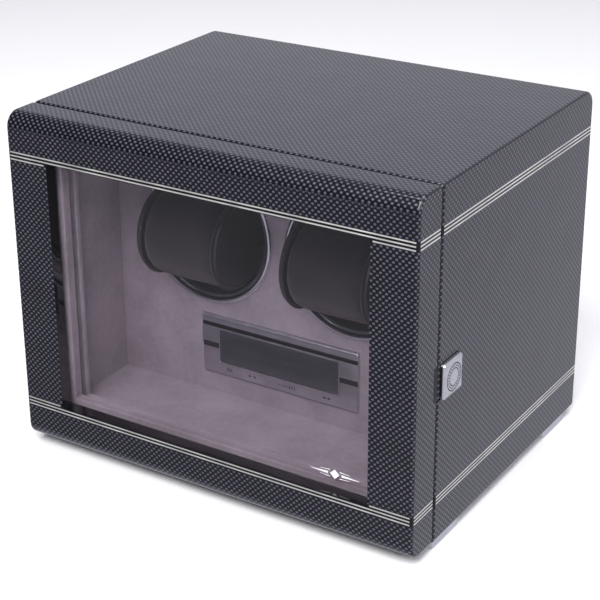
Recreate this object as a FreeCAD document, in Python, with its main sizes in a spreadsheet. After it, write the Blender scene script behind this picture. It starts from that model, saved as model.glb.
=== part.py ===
"""Twin watch winder: a lacquered cabinet with a glass door, two motor-driven rotors and a control panel.

Millimetres. X runs to the right, Y to the back, +Z up. The origin is on the surface that the feet
stand on, under the middle of the cabinet.
"""
import math
import os

import FreeCAD, Part
import Sketcher
from FreeCAD import Placement, Rotation, Vector

# ---------------------------------------------------------------- driving sizes

CELLS = {
    # whole box
    "width": 308.0,
    "depth": 247.0,
    "foot_height": 5.2,
    "top_height": 246.6,
    "edge_round": 2.0,
    "front_round": 10.5,
    "rear_round": 11.5,
    "heel_round": 3.0,
    # door
    "door_thick": 28.0,
    "door_bottom": 6.0,
    "door_gap": 0.6,
    "window_half": 122.0,
    "window_low": 37.0,
    "window_high": 216.2,
    "reveal": 9.6,
    "rebate_half": 131.0,
    "rebate_low": 28.4,
    "rebate_high": 224.6,
    "seal_thick": 0.8,
    "glass_half": 128.0,
    "glass_thick": 4.0,
    "retainer_thick": 7.6,
    "retainer_gap": 0.4,
    "retainer_half": 121.6,
    "retainer_low": 38.0,
    "retainer_high": 215.2,
    # carcass
    "side_thick": 16.0,
    "slab_thick": 20.8,
    "rear_thick": 12.0,
    "trim_step": 0.6,
    "trim_thick": 4.0,
    "trim_half": 123.5,
    "trim_low": 33.5,
    "trim_high": 218.3,
    "lining": 3.0,
    "fascia_front": 90.5,
    "fascia_thick": 9.0,
    # inlaid lines
    "line_width": 1.0,
    "line_deep": 0.6,
    "line_pitch": 2.44,
    "upper_line": 217.34,
    "lower_line": 35.36,
    "line_stop": 1.6,
    # rotors
    "rotor_x": 57.6,
    "rotor_z": 151.6,
    "hole_radius": 49.6,
    "ring_inner": 49.4,
    "ring_outer": 52.8,
    "ring_proud": 3.0,
    "cup_outer": 47.6,
    "cup_inner": 45.6,
    "lip_outer": 48.6,
    "cup_back": 128.0,
    "cup_floor": 2.0,
    "shaft_radius": 4.0,
    "shaft_end": 150.0,
    "bush_radius": 7.0,
    "running_fit": 0.05,
    "plate_front": 140.0,
    "plate_thick": 6.0,
    "plate_half": 122.0,
    "post_x": 114.0,
    "post_low": 108.0,
    "post_high": 195.0,
    "post_radius": 5.0,
    # gear train, module 1
    "gear_teeth": 50.0,
    "pinion_teeth": 14.0,
    "tooth_rise": 0.8,
    "tooth_drop": 1.2,
    "tooth_width": 1.32,
    "gear_front": 131.0,
    "gear_thick": 5.0,
    "motor_radius": 12.0,
    "motor_length": 36.0,
    "motor_shaft": 1.5,
    # watch cushions
    "cuff_y": 83.0,
    "cuff_radius": 33.5,
    "cuff_half": 33.0,
    "disc_thick": 2.5,
    "disc_radius": 31.5,
    "spool_radius": 14.0,
    "clip_thick": 1.0,
    "clip_gap": 0.3,
    "clip_half": 8.0,
    # control panel
    "panel_half": 63.4,
    "panel_low": 44.9,
    "panel_high": 89.8,
    "panel_thick": 3.0,
    "display_half": 48.9,
    "display_low": 54.4,
    "display_high": 80.0,
    "display_sink": 1.2,
    # hinges
    "axis_x": -155.6,
    "axis_y": 28.3,
    "barrel_radius": 2.0,
    "pin_radius": 1.0,
    "leaf_thick": 1.4,
    "leaf_wide": 14.0,
    "hinge_tall": 51.0,
    "hinge_low": 50.0,
    "hinge_high": 202.0,
    # latch
    "latch_y": 42.8,
    "latch_z": 118.0,
    "button_side": 24.0,
    "button_proud": 3.6,
    "button_thick": 5.8,
    "button_gap": 0.4,
    "button_round": 2.0,
    "recess_deep": 4.4,
    "housing_deep": 10.6,
    "housing_wall": 1.5,
    "housing_half": 11.0,
    "stem_radius": 3.0,
    "collar_radius": 3.9,
    "collar_thick": 1.2,
    "tongue_inset": 6.9,
    "tongue_thick": 1.5,
    "tongue_half": 4.0,
    "tongue_reach": 9.8,
    "tooth_start": 5.6,
    "tooth_end": 8.2,
    "tooth_half": 2.5,
    "bar_thick": 2.3,
    "coil_radius": 4.2,
    "wire_radius": 0.35,
    "coil_room": 5.2,
    "coil_sink": 4.2,
    "strike_thick": 1.2,
    "strike_deep": 4.2,
    # feet
    "foot_long": 35.0,
    "foot_wide": 22.0,
    "pad_thick": 0.8,
    "rear_foot": 196.5,
    # rear hatch
    "hatch_half": 110.0,
    "hatch_low": 66.0,
    "hatch_high": 196.0,
    "hatch_thick": 3.0,
    "hatch_ledge": 8.0,
    # power inlet
    "inlet_inset": 30.0,
    "inlet_rise": 18.0,
    "inlet_bore": 2.8,
    "bore_deep": 4.0,
    "inlet_throat": 2.2,
    "throat_end": 12.0,
    "inlet_long": 14.0,
    "inlet_body": 5.5,
    "inlet_rim": 7.0,
    "rim_thick": 1.2,
    # small parts
    "screw_shank": 1.5,
    "screw_head": 3.0,
    "head_tall": 2.0,
    "head_taper": 1.6,
    "shank_long": 10.0,
    "bumper_radius": 3.5,
    "bumper_sink": 1.6,
    "bumper_rise": 0.45,
    "suede_round": 1.0,
    "glass_round": 0.4,
    "glass_inset": 2.6,
    "button_edge": 0.8,
    "panel_round": 2.6,
    "panel_edge": 0.3,
    "ring_step": 1.0,
    "ring_deep": 4.0,
    "lip_front": 0.2,
    "lip_back": 1.6,
    "neck_radius": 2.0,
    "flange_wide": 2.0,
    "flange_thick": 1.5,
    "nose_radius": 3.9,
    "nose_seat": 4.0,
    "motor_boss": 2.5,
    # circuit board
    "board_half": 60.0,
    "board_low": 42.0,
    "board_high": 94.0,
    "board_gap": 3.0,
    "board_thick": 1.6,
    "part_tall": 2.4,
    "standoff_radius": 2.5,
    "standoff_x": 56.0,
    "standoff_low": 46.0,
    "standoff_high": 90.0,
    "motor_lead": 1.1,
    "power_lead": 1.6,
}

doc = FreeCAD.newDocument("watch_winder")
sheet = doc.addObject("Spreadsheet::Sheet", "Sizes")


class Size(float):
    """A number that also knows its formula over the sheet's cells."""

    def __new__(cls, value, text=None):
        made = float.__new__(cls, value)
        made.text = text or repr(float(value))
        return made

    def _join(self, other, sign, swap=False):
        a, b = self, other if isinstance(other, Size) else Size(other)
        if swap:
            a, b = b, a
        value = {
            "+": lambda: float(a) + float(b),
            "-": lambda: float(a) - float(b),
            "*": lambda: float(a) * float(b),
            "/": lambda: float(a) / float(b),
        }[sign]()
        return Size(value, f"({a.text} {sign} {b.text})")

    def __add__(self, other):
        return self._join(other, "+")

    def __radd__(self, other):
        return self._join(other, "+", swap=True)

    def __sub__(self, other):
        return self._join(other, "-")

    def __rsub__(self, other):
        return self._join(other, "-", swap=True)

    def __mul__(self, other):
        return self._join(other, "*")

    def __rmul__(self, other):
        return self._join(other, "*", swap=True)

    def __truediv__(self, other):
        return self._join(other, "/")

    def __neg__(self):
        return self * -1.0


class Cells:
    """The sheet's cells as attributes, each a Size."""


size = Cells()
for row, (alias, number) in enumerate(CELLS.items(), start=1):
    sheet.set(f"A{row}", alias)
    sheet.set(f"B{row}", str(number))
    sheet.setAlias(f"B{row}", alias)
    setattr(size, alias, Size(number, f"Sizes.{alias}"))
doc.recompute()
ZERO = Size(0.0)

nodes = []


def keep(obj, label):
    """Makes obj one of the pieces that are written, under this name."""
    obj.Label = label
    nodes.append(obj)
    return obj


def bind(obj, path, value):
    obj.setExpression(path, value.text if isinstance(value, Size) else repr(float(value)))


def place(obj, x, y, z):
    for axis, value in zip("xyz", (x, y, z)):
        bind(obj, f"Placement.Base.{axis}", value)
    return obj


# ---------------------------------------------------------------- primitives and booleans


def box(name, x, y, z):
    """A block between the low and high of each pair."""
    made = doc.addObject("Part::Box", name)
    for prop, (low, high) in zip(("Length", "Width", "Height"), (x, y, z)):
        bind(made, prop, high - low)
    return place(made, x[0], y[0], z[0])


TURNS = {
    "x": Rotation(Vector(0, 1, 0), 90),
    "y": Rotation(Vector(1, 0, 0), -90),
    "z": Rotation(),
}


def rod(name, axis, radius, span, centre):
    """A cylinder along an axis over span, with its centre line at the other two coordinates."""
    made = doc.addObject("Part::Cylinder", name)
    bind(made, "Radius", radius)
    bind(made, "Height", span[1] - span[0])
    made.Placement = Placement(Vector(), TURNS[axis])
    at = list(centre)
    at.insert("xyz".index(axis), span[0])
    return place(made, *at)


def cone(name, axis, radii, span, centre):
    made = doc.addObject("Part::Cone", name)
    bind(made, "Radius1", radii[0])
    bind(made, "Radius2", radii[1])
    bind(made, "Height", span[1] - span[0])
    made.Placement = Placement(Vector(), TURNS[axis])
    at = list(centre)
    at.insert("xyz".index(axis), span[0])
    return place(made, *at)


def group(name, parts):
    """Separate solids under one name."""
    made = doc.addObject("Part::Compound", name)
    made.Links = parts
    return made


def fuse(name, parts):
    made = doc.addObject("Part::MultiFuse", name)
    made.Shapes = parts
    made.Refine = True
    return made


def cut(name, base, tools):
    made = doc.addObject("Part::Cut", name)
    made.Base = base
    made.Tool = tools[0] if len(tools) == 1 else group(f"{name}_tools", tools)
    made.Refine = True
    return made


def rounded(name, base, radius, test):
    """base with the edges that pass the test rounded."""
    doc.recompute()
    made = doc.addObject("Part::Fillet", name)
    made.Base = base
    picked = [i for i, edge in enumerate(base.Shape.Edges, start=1) if test(edge)]
    made.Edges = [(i, float(radius), float(radius)) for i in picked]
    return made


# ---------------------------------------------------------------- bodies made from sketches


def plane_of(body, role):
    return next(p for p in body.Origin.OriginFeatures if p.Role == role)


def sketch_on(body, role, loops, name="Outline"):
    """A sketch of closed outlines on one of the body's own planes. A corner is a pair of sizes."""
    sketch = body.newObject("Sketcher::SketchObject", name)
    sketch.AttachmentSupport = (plane_of(body, role), "")
    sketch.MapMode = "FlatFace"
    for corners in loops:
        first = sketch.GeometryCount
        count = len(corners)
        for i, (u, v) in enumerate(corners):
            after = corners[(i + 1) % count]
            start, end = Vector(float(u), float(v), 0), Vector(float(after[0]), float(after[1]), 0)
            sketch.addGeometry(Part.LineSegment(start, end), False)
        for i, (u, v) in enumerate(corners):
            line, after = first + i, first + (i + 1) % count
            sketch.addConstraint(Sketcher.Constraint("Coincident", line, 2, after, 1))
            for kind, axis_line, value in (("DistanceX", -2, u), ("DistanceY", -1, v)):
                if abs(float(value)) < 1e-9:
                    sketch.addConstraint(Sketcher.Constraint("PointOnObject", line, 1, axis_line))
                    continue
                spot = sketch.addConstraint(Sketcher.Constraint(kind, -1, 1, line, 1, float(value)))
                bind(sketch, f"Constraints[{spot}]", value)
    return sketch


def circle_on(body, role, radius, name="Circle"):
    sketch = body.newObject("Sketcher::SketchObject", name)
    sketch.AttachmentSupport = (plane_of(body, role), "")
    sketch.MapMode = "FlatFace"
    sketch.addGeometry(Part.Circle(Vector(), Vector(0, 0, 1), float(radius)), False)
    sketch.addConstraint(Sketcher.Constraint("Coincident", 0, 3, -1, 1))
    spot = sketch.addConstraint(Sketcher.Constraint("Radius", 0, float(radius)))
    bind(sketch, f"Constraints[{spot}]", radius)
    return sketch


def pad(body, sketch, length, reverse=False):
    made = body.newObject("PartDesign::Pad", "Pad")
    made.Profile = sketch
    bind(made, "Length", length)
    made.Reversed = reverse
    doc.recompute()
    return made


def soften(body, feature, radius, test):
    """Rounds the feature's edges that pass the test."""
    made = body.newObject("PartDesign::Fillet", "Fillet")
    picked = [f"Edge{i}" for i, edge in enumerate(feature.Shape.Edges, start=1) if test(edge)]
    made.Base = (feature, picked)
    bind(made, "Radius", radius)
    doc.recompute()
    return made


def new_body(name):
    return doc.addObject("PartDesign::Body", name)


def plate_body(name, role, loops, thick, at, reverse=False):
    """A body padded from one sketch of outlines and put in place."""
    body = new_body(name)
    last = pad(body, sketch_on(body, role, loops), thick, reverse)
    place(body, *at)
    return body, last


def turned(name, outline, at):
    """A body turned about a line along Y from corners (radius, y)."""
    body = new_body(name)
    sketch = sketch_on(body, "XY_Plane", [outline], "Section")
    made = body.newObject("PartDesign::Revolution", "Revolution")
    made.Profile = sketch
    made.ReferenceAxis = (sketch, ["V_Axis"])
    made.Angle = 360.0
    doc.recompute()
    place(body, *at)
    return body


def rectangle(u, v):
    return [(u[0], v[0]), (u[1], v[0]), (u[1], v[1]), (u[0], v[1])]


def along(edge, axis):
    """Whether an edge is straight and runs along that axis."""
    a, b = edge.Vertexes[0].Point, edge.Vertexes[-1].Point
    moved = b - a
    return moved.Length > 1e-6 and abs(abs(getattr(moved.normalize(), axis)) - 1) < 1e-6


def middle(edge):
    return edge.valueAt((edge.FirstParameter + edge.LastParameter) / 2)


def near(a, b, slack=1e-3):
    return abs(float(a) - float(b)) < slack


# ---------------------------------------------------------------- places that many pieces share

half = size.width / 2
front = -size.depth / 2
back = size.depth / 2
joint_y = front + size.door_thick + size.door_gap
inner_half = half - size.side_thick
slab_low = size.foot_height + size.slab_thick
slab_high = size.top_height - size.slab_thick
lining_half = inner_half - size.lining
floor_z = slab_low + size.lining
ceiling_z = slab_high - size.lining
fascia_y = front + size.fascia_front
fascia_back = fascia_y + size.fascia_thick
rear_y = back - size.rear_thick
trim_y = joint_y + size.trim_step
SIDES = {"left": -1.0, "right": 1.0}
LINE_STEPS = (-1.0, 0.0, 1.0)

# ---------------------------------------------------------------- inlaid lines


def line_boxes(prefix, y, inset, x_side=True, front_runs=()):
    """Bright lines let into both sides, and into the door's front over front_runs."""
    parts = []
    for level, middle_z in (("upper", size.upper_line), ("lower", size.lower_line)):
        for step in LINE_STEPS:
            low = middle_z + size.line_pitch * step - size.line_width / 2
            z = (low, low + size.line_width)
            tag = f"{prefix}_{level}_{int(step) + 1}"
            for side, sign in SIDES.items() if x_side else ():
                outer, inner = half * sign, (half - size.line_deep) * sign
                x = (inner, outer) if sign > 0 else (outer, inner)
                parts.append(box(f"{tag}_{side}", x, (y[0] + inset, y[1] - inset), z))
            broken = (level == "upper" and step < 0) or (level == "lower" and step > 0)
            for number, run in enumerate(front_runs[1 if broken else 0] if front_runs else ()):
                parts.append(box(f"{tag}_front_{number}", run, (front, front + size.line_deep), z))
    return parts


whole_run = [(-half + size.edge_round, half - size.edge_round)]
stop = size.window_half + size.line_stop
broken_run = [(-half + size.edge_round, -stop), (stop, half - size.edge_round)]
door_span = (front, front + size.door_thick)
door_lines = group("door_lines", line_boxes("door_line", door_span, size.edge_round, True,
                                            (whole_run, broken_run)))
case_lines = group("case_lines", line_boxes("case_line", (joint_y, back), size.edge_round))

# ---------------------------------------------------------------- hinges


def hinge_screw_set(name, leaf_side, x):
    """Countersunk screws through the leaves: leaf_side is -1 on the door and +1 on the cabinet."""
    parts = []
    face = size.axis_y - size.door_gap / 2 if leaf_side < 0 else size.axis_y + size.door_gap / 2
    face = front + face
    for level, low in (("lower", size.hinge_low), ("upper", size.hinge_high - size.hinge_tall)):
        for number, share in enumerate((0.2, 0.5, 0.8)):
            z = low + size.hinge_tall * share
            tag = f"{name}_{level}_{number}"
            if leaf_side < 0:
                head = cone(f"{tag}_head", "y", (1.4, 2.6), (face - 1.2, face), (x, z))
                shank = rod(f"{tag}_shank", "y", 1.4, (face - 11.0, face - 1.2), (x, z))
            else:
                head = cone(f"{tag}_head", "y", (2.6, 1.4), (face, face + 1.2), (x, z))
                shank = rod(f"{tag}_shank", "y", 1.4, (face + 1.2, face + 11.0), (x, z))
            parts.append(fuse(tag, [head, shank]))
    return group(name, parts)


screw_x = size.axis_x + size.leaf_wide * 0.6
door_hinge_screws = hinge_screw_set("door_hinge_screws", -1, screw_x)
case_hinge_screws = hinge_screw_set("case_hinge_screws", 1, screw_x)
keep(door_hinge_screws, "door_hinge_screws")
keep(case_hinge_screws, "cabinet_hinge_screws")

axis_at = (size.axis_x, front + size.axis_y)
knuckle = (size.hinge_tall - 0.6) / 3
leaf_x = (size.axis_x + size.barrel_radius + 0.2, size.axis_x + size.leaf_wide)
door_leaf_y = (axis_at[1] - size.door_gap / 2 - size.leaf_thick, axis_at[1] - size.door_gap / 2)
case_leaf_y = (axis_at[1] + size.door_gap / 2, axis_at[1] + size.door_gap / 2 + size.leaf_thick)
door_leaves, case_leaves, pins, leaf_pockets = [], [], [], {"door": [], "case": []}
for level, low in (("lower", size.hinge_low), ("upper", size.hinge_high - size.hinge_tall)):
    z = (low, low + size.hinge_tall)
    mid = (low + knuckle + 0.3, low + knuckle * 2 + 0.3)
    ends = ((low, low + knuckle), (low + knuckle * 2 + 0.6, low + size.hinge_tall))
    let_in = (-half, leaf_x[1])
    door_flat = box(f"{level}_door_flat", leaf_x, door_leaf_y, z)
    case_flat = box(f"{level}_case_flat", leaf_x, case_leaf_y, z)
    leaf_pockets["door"].append(box(f"{level}_door_pocket", let_in, door_leaf_y, z))
    leaf_pockets["case"].append(box(f"{level}_case_pocket", let_in, case_leaf_y, z))
    hole = size.pin_radius + size.running_fit
    door_knuckle = fuse(f"{level}_door_knuckle", [
        rod(f"{level}_door_barrel", "z", size.barrel_radius, mid, axis_at),
        box(f"{level}_door_tab", (size.axis_x, leaf_x[0] + 0.5), door_leaf_y, mid),
        door_flat,
    ])
    door_leaves.append(cut(f"{level}_door_leaf", door_knuckle, [
        rod(f"{level}_door_bore", "z", hole, (low - 1.0, low + size.hinge_tall + 1.0), axis_at)]))
    case_parts = [case_flat]
    for number, span in enumerate(ends):
        case_parts.append(rod(f"{level}_case_barrel_{number}", "z", size.barrel_radius, span, axis_at))
        case_parts.append(box(f"{level}_case_tab_{number}", (size.axis_x, leaf_x[0] + 0.5),
                              case_leaf_y, span))
    case_leaves.append(cut(f"{level}_case_leaf", fuse(f"{level}_case_knuckles", case_parts), [
        rod(f"{level}_case_bore", "z", size.pin_radius, (low - 1.0, low + size.hinge_tall + 1.0), axis_at)]))
    shaft = rod(f"{level}_pin_shaft", "z", size.pin_radius, z, axis_at)
    caps = [rod(f"{level}_pin_cap_{i}", "z", size.barrel_radius * 0.9, (a, a + 0.8), axis_at)
            for i, a in enumerate((low - 0.8, low + size.hinge_tall))]
    pins.append(fuse(f"{level}_pin", [shaft, *caps]))
keep(cut("door_leaf_pair", group("door_leaves", door_leaves), [door_hinge_screws]), "hinge_door_leaves")
keep(cut("case_leaf_pair", group("case_leaves", case_leaves), [case_hinge_screws]), "hinge_cabinet_leaves")
keep(group("pin_pair", pins), "hinge_pins")

# ---------------------------------------------------------------- latch and strike

latch_y = front + size.latch_y
latch_z = size.latch_z
stem_at = (latch_y, latch_z)
tongue_x = (half - size.tongue_inset - size.tongue_thick, half - size.tongue_inset)
tongue_z = (latch_z - size.tongue_half, latch_z + size.tongue_half)
door_back = front + size.door_thick
strike_z = (latch_z - 11.0, latch_z + 12.0)
strike_rise = 0.15
strike_parts = [
    box("strike_side_leg", (half - 0.9, half + strike_rise),
        (door_back - size.strike_deep, door_back), strike_z),
    box("strike_back_leg", (half - 11.0, half + strike_rise),
        (door_back - size.strike_thick, door_back), strike_z),
    box("strike_tongue", tongue_x,
        (door_back - size.strike_thick, joint_y + size.tongue_reach), tongue_z),
]
tooth_y = (joint_y + size.tooth_start, joint_y + size.tooth_end)
strike_hole = box("strike_hole", (tongue_x[0] - 1.0, tongue_x[1] + 1.0), (tooth_y[0] - 0.4, tooth_y[1] + 0.4),
                  (latch_z - size.tooth_half - 0.4, latch_z + size.tooth_half + 0.4))
strike_raw = cut("strike_raw", fuse("strike_fused", strike_parts), [strike_hole])
strike_rounded = rounded("strike_rounded", strike_raw, 0.9, lambda e: along(e, "z")
                         and near(middle(e).x, half + strike_rise) and near(middle(e).y, door_back))
strike = keep(strike_rounded, "strike_plate")

recess_x = (half - size.recess_deep, half + 1.0)
recess_reach = size.button_side / 2 + size.button_gap
recess_raw = box("recess_raw", recess_x, (latch_y - recess_reach, latch_y + recess_reach),
                 (latch_z - recess_reach, latch_z + recess_reach))
recess = rounded("recess", recess_raw, size.button_round + size.button_gap, lambda e: along(e, "x"))
wall = size.housing_wall
house_x = (recess_x[0] - size.housing_deep, recess_x[0])
house_y = (joint_y, latch_y + size.housing_half)
house_z = (latch_z - size.housing_half, latch_z + size.housing_half)
room_x = (house_x[0] + wall, house_x[1] - wall)
room = box("latch_room", room_x, (house_y[0] + wall, house_y[1] - wall),
           (house_z[0] + wall, house_z[1] - wall))
slot = box("latch_slot", (tongue_x[0] - 0.5, tongue_x[1] + 0.5), (house_y[0] - 1.0, house_y[0] + wall + 1.0),
           (tongue_z[0] - 0.5, tongue_z[1] + 0.5))
stem_hole = rod("latch_stem_hole", "x", size.stem_radius + size.running_fit,
                (room_x[1] - 1.0, house_x[1] + 1.0), stem_at)
latch_block = box("latch_block", house_x, house_y, house_z)
keep(cut("latch_case", latch_block, [room, slot, stem_hole]), "latch_housing")

# the button's plate is hollow behind, round the stem, to take the return spring
button_face = half + size.button_proud
button_x = (button_face - size.button_thick, button_face)
button_half = size.button_side / 2
button_body, button_pad = plate_body(
    "button_plate", "YZ_Plane", [rectangle((-button_half, button_half), (-button_half, button_half))],
    size.button_thick, (button_x[0], latch_y, latch_z))
button_corner = soften(button_body, button_pad, size.button_round, lambda e: along(e, "x"))
soften(button_body, button_corner, size.button_edge, lambda e: near(e.BoundBox.XMin, size.button_thick)
       and near(e.BoundBox.XMax, size.button_thick))
coil_end = button_x[0] + size.coil_sink
spring_room = rod("spring_room", "x", size.coil_room, (button_x[0] - 1.0, coil_end), stem_at)
bar_x = (tongue_x[0] - 0.3 - size.bar_thick, tongue_x[0] - 0.3)
stem = rod("button_stem", "x", size.stem_radius, (bar_x[1], coil_end + 0.5), stem_at)
collar = rod("button_collar", "x", size.collar_radius, (room_x[1] - size.collar_thick, room_x[1]), stem_at)
keep(fuse("button_whole", [cut("button_hollow", button_body, [spring_room]), stem, collar]), "latch_button")
keep(fuse("catch_whole", [
    box("catch_bar", bar_x, (joint_y + 3.0, stem_at[0] + 4.0), (latch_z - 3.4, latch_z + 3.4)),
    box("catch_tooth", (bar_x[1] - 0.5, tongue_x[1] + 0.2), tooth_y,
        (latch_z - size.tooth_half, latch_z + size.tooth_half)),
]), "latch_catch")


def coil(name, radius, wire, start, end, turns):
    """A helical spring along X with its end turns on flat seats."""
    height = float(end - start) - 2 * float(wire)
    path = Part.makeHelix(height / turns, height, float(radius))
    section = Part.Wire(Part.makeCircle(float(wire), Vector(float(radius), 0, 0), Vector(0, 1, 0)))
    shape = Part.Wire(path).makePipeShell([section], True, True)
    made = doc.addObject("Part::Feature", name)
    made.Shape = shape
    made.Placement = Placement(Vector(float(start) + float(wire), float(stem_at[0]), float(stem_at[1])),
                               TURNS["x"])
    return made


COIL_TURNS = 3.5
return_coil = coil("return_coil", size.coil_radius, size.wire_radius, house_x[1], coil_end, COIL_TURNS)
keep(return_coil, "latch_spring")

# ---------------------------------------------------------------- door

door_outline = rectangle((ZERO, size.door_thick), (size.door_bottom, size.top_height))
door_body, door_pad = plate_body("door_blank", "YZ_Plane", [door_outline], size.width, (-half, front, 0.0))
edge = soften(door_body, door_pad, size.front_round, lambda e: along(e, "x") and near(middle(e).y, 0))
edge = soften(door_body, edge, size.edge_round, lambda e: along(e, "x")
              and near(middle(e).y, size.door_thick))
soften(door_body, edge, size.edge_round, lambda e: near(e.BoundBox.XMin, e.BoundBox.XMax)
       and (near(e.BoundBox.XMin, 0) or near(e.BoundBox.XMin, size.width)))
window = box("window_cut", (-size.window_half, size.window_half), (front - 1.0, front + size.door_thick),
             (size.window_low, size.window_high))
rebate_y = (front + size.reveal, door_back + 1.0)
rebate = box("rebate_cut", (-size.rebate_half, size.rebate_half), rebate_y,
             (size.rebate_low, size.rebate_high))
keep(cut("door_cut", door_body, [window, rebate, door_lines, door_hinge_screws, strike,
                                 *leaf_pockets["door"]]), "door_frame")
keep(door_lines, "door_inlays")


def frame_body(name, outer, inner, thick, y):
    """A rectangular frame in the XZ plane, thick along Y. outer and inner are (half, low, high)."""
    loops = [rectangle((-h, h), (low, high)) for h, low, high in (outer, inner)]
    return plate_body(name, "XZ_Plane", loops, thick, (0.0, y, 0.0), reverse=True)


glass_low = size.rebate_low + size.glass_inset
glass_high = size.rebate_high - size.glass_inset
seal_y = front + size.reveal
glass_y = seal_y + size.seal_thick
retainer_y = glass_y + size.glass_thick
seal_inner = (size.window_half + 0.5, size.window_low - 0.5, size.window_high + 0.5)
keep(frame_body("seal", (size.glass_half, glass_low, glass_high), seal_inner, size.seal_thick, seal_y)[0],
     "glass_seal")
glass_body, glass_pad = plate_body("pane", "XZ_Plane", [rectangle((-size.glass_half, size.glass_half),
                                   (glass_low, glass_high))], size.glass_thick, (0.0, glass_y, 0.0), True)
soften(glass_body, glass_pad, size.glass_round, lambda e: not along(e, "y"))
keep(glass_body, "door_glass")
retainer_outer = (size.rebate_half - size.retainer_gap, size.rebate_low + size.retainer_gap,
                  size.rebate_high - size.retainer_gap)
retainer_body, retainer_pad = frame_body(
    "retainer", retainer_outer, (size.retainer_half, size.retainer_low, size.retainer_high),
    size.retainer_thick, retainer_y)
soften(retainer_body, retainer_pad, size.suede_round, lambda e: near(middle(e).y, size.retainer_thick)
       and abs(middle(e).x) < size.retainer_half + 0.1 and not along(e, "y")
       and size.retainer_low - 0.1 < middle(e).z < size.retainer_high + 0.1)
keep(retainer_body, "glass_retainer")

# ---------------------------------------------------------------- cabinet panels

case_deep = size.depth - size.door_thick - size.door_gap
bumper_spots = [(sign * (half - size.side_thick / 2), z) for sign in (-1.0, 1.0)
                for z in (size.foot_height + 14.0, size.top_height - 14.0)]
bumpers = []
for number, (x, z) in enumerate(bumper_spots):
    raw = rod(f"bumper_{number}_raw", "y", size.bumper_radius,
              (joint_y - size.bumper_rise, joint_y + size.bumper_sink), (x, z))
    bumpers.append(rounded(f"bumper_{number}", raw, 0.4,
                           lambda e: near(middle(e).y, joint_y - size.bumper_rise)))
bumper_group = keep(group("bumpers", bumpers), "door_bumpers")

for side_name, sign in SIDES.items():
    outline = rectangle((ZERO, case_deep), (size.foot_height, size.top_height))
    low_x = -half if sign < 0 else inner_half
    outer = 0.0 if sign < 0 else size.side_thick
    body, last = plate_body(f"{side_name}_side", "YZ_Plane", [outline], size.side_thick,
                            (low_x, joint_y, 0.0))
    last = soften(body, last, size.rear_round, lambda e: along(e, "x") and near(middle(e).y, case_deep)
                  and near(middle(e).z, size.top_height))
    last = soften(body, last, size.heel_round, lambda e: along(e, "x") and near(middle(e).y, case_deep)
                  and near(middle(e).z, size.foot_height))
    last = soften(body, last, size.edge_round, lambda e: along(e, "x") and near(middle(e).y, 0))
    last = soften(body, last, size.edge_round, lambda e: near(e.BoundBox.XMin, outer)
                  and near(e.BoundBox.XMax, outer))
    tools = [case_lines, bumper_group]
    tools += [case_hinge_screws, *leaf_pockets["case"]] if sign < 0 else [latch_block, recess]
    keep(cut(f"{side_name}_side_cut", body, tools), f"{side_name}_side_panel")
keep(case_lines, "cabinet_inlays")

between = (-inner_half, inner_half)
for name, z, rear, rear_z in (
    ("top", (slab_high, size.top_height), size.rear_round, size.top_height),
    ("bottom", (size.foot_height, slab_low), size.heel_round, size.foot_height),
):
    body, last = plate_body(f"{name}_slab", "YZ_Plane", [rectangle((ZERO, case_deep), z)],
                            inner_half * 2, (between[0], joint_y, 0.0))
    last = soften(body, last, rear, lambda e: along(e, "x") and near(middle(e).y, case_deep)
                  and near(middle(e).z, rear_z))
    soften(body, last, size.edge_round, lambda e: along(e, "x") and near(middle(e).y, 0)
           and near(middle(e).z, rear_z))
    keep(body, f"{name}_panel")

ledge = size.hatch_ledge
hatch_screws = []
for number, (x, z) in enumerate((x, z) for x in (-1.0, 0.0, 1.0) for z in (0.0, 1.0)):
    at = (x * (size.hatch_half - ledge / 2),
          size.hatch_low + ledge / 2 + z * (size.hatch_high - size.hatch_low - ledge))
    head_y = (back - size.head_taper - 0.1, back - 0.1)
    head = cone(f"hatch_head_{number}", "y", (size.screw_shank, size.screw_head), head_y, at)
    shank = rod(f"hatch_shank_{number}", "y", size.screw_shank, (back - size.shank_long, head_y[0]), at)
    hatch_screws.append(fuse(f"hatch_screw_{number}", [head, shank]))
screw_group = keep(group("hatch_screws", hatch_screws), "rear_cover_screws")

# the inlet's socket opens to the rear, and narrows to a closed throat
inlet_at = (size.hatch_half - size.inlet_inset, size.hatch_low + size.inlet_rise)
shell = turned("inlet_shell", [
    (size.inlet_bore, ZERO), (size.inlet_rim, ZERO), (size.inlet_rim, size.rim_thick),
    (size.inlet_body, size.rim_thick), (size.inlet_body, size.inlet_long), (ZERO, size.inlet_long),
    (ZERO, size.throat_end), (size.inlet_throat, size.throat_end), (size.inlet_throat, size.bore_deep),
    (size.inlet_bore, size.bore_deep)], (inlet_at[0], back, inlet_at[1]))
shell.Placement = Placement(Vector(), Rotation(Vector(1, 0, 0), 180))
place(shell, inlet_at[0], back, inlet_at[1])
keep(shell, "power_inlet")

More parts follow.
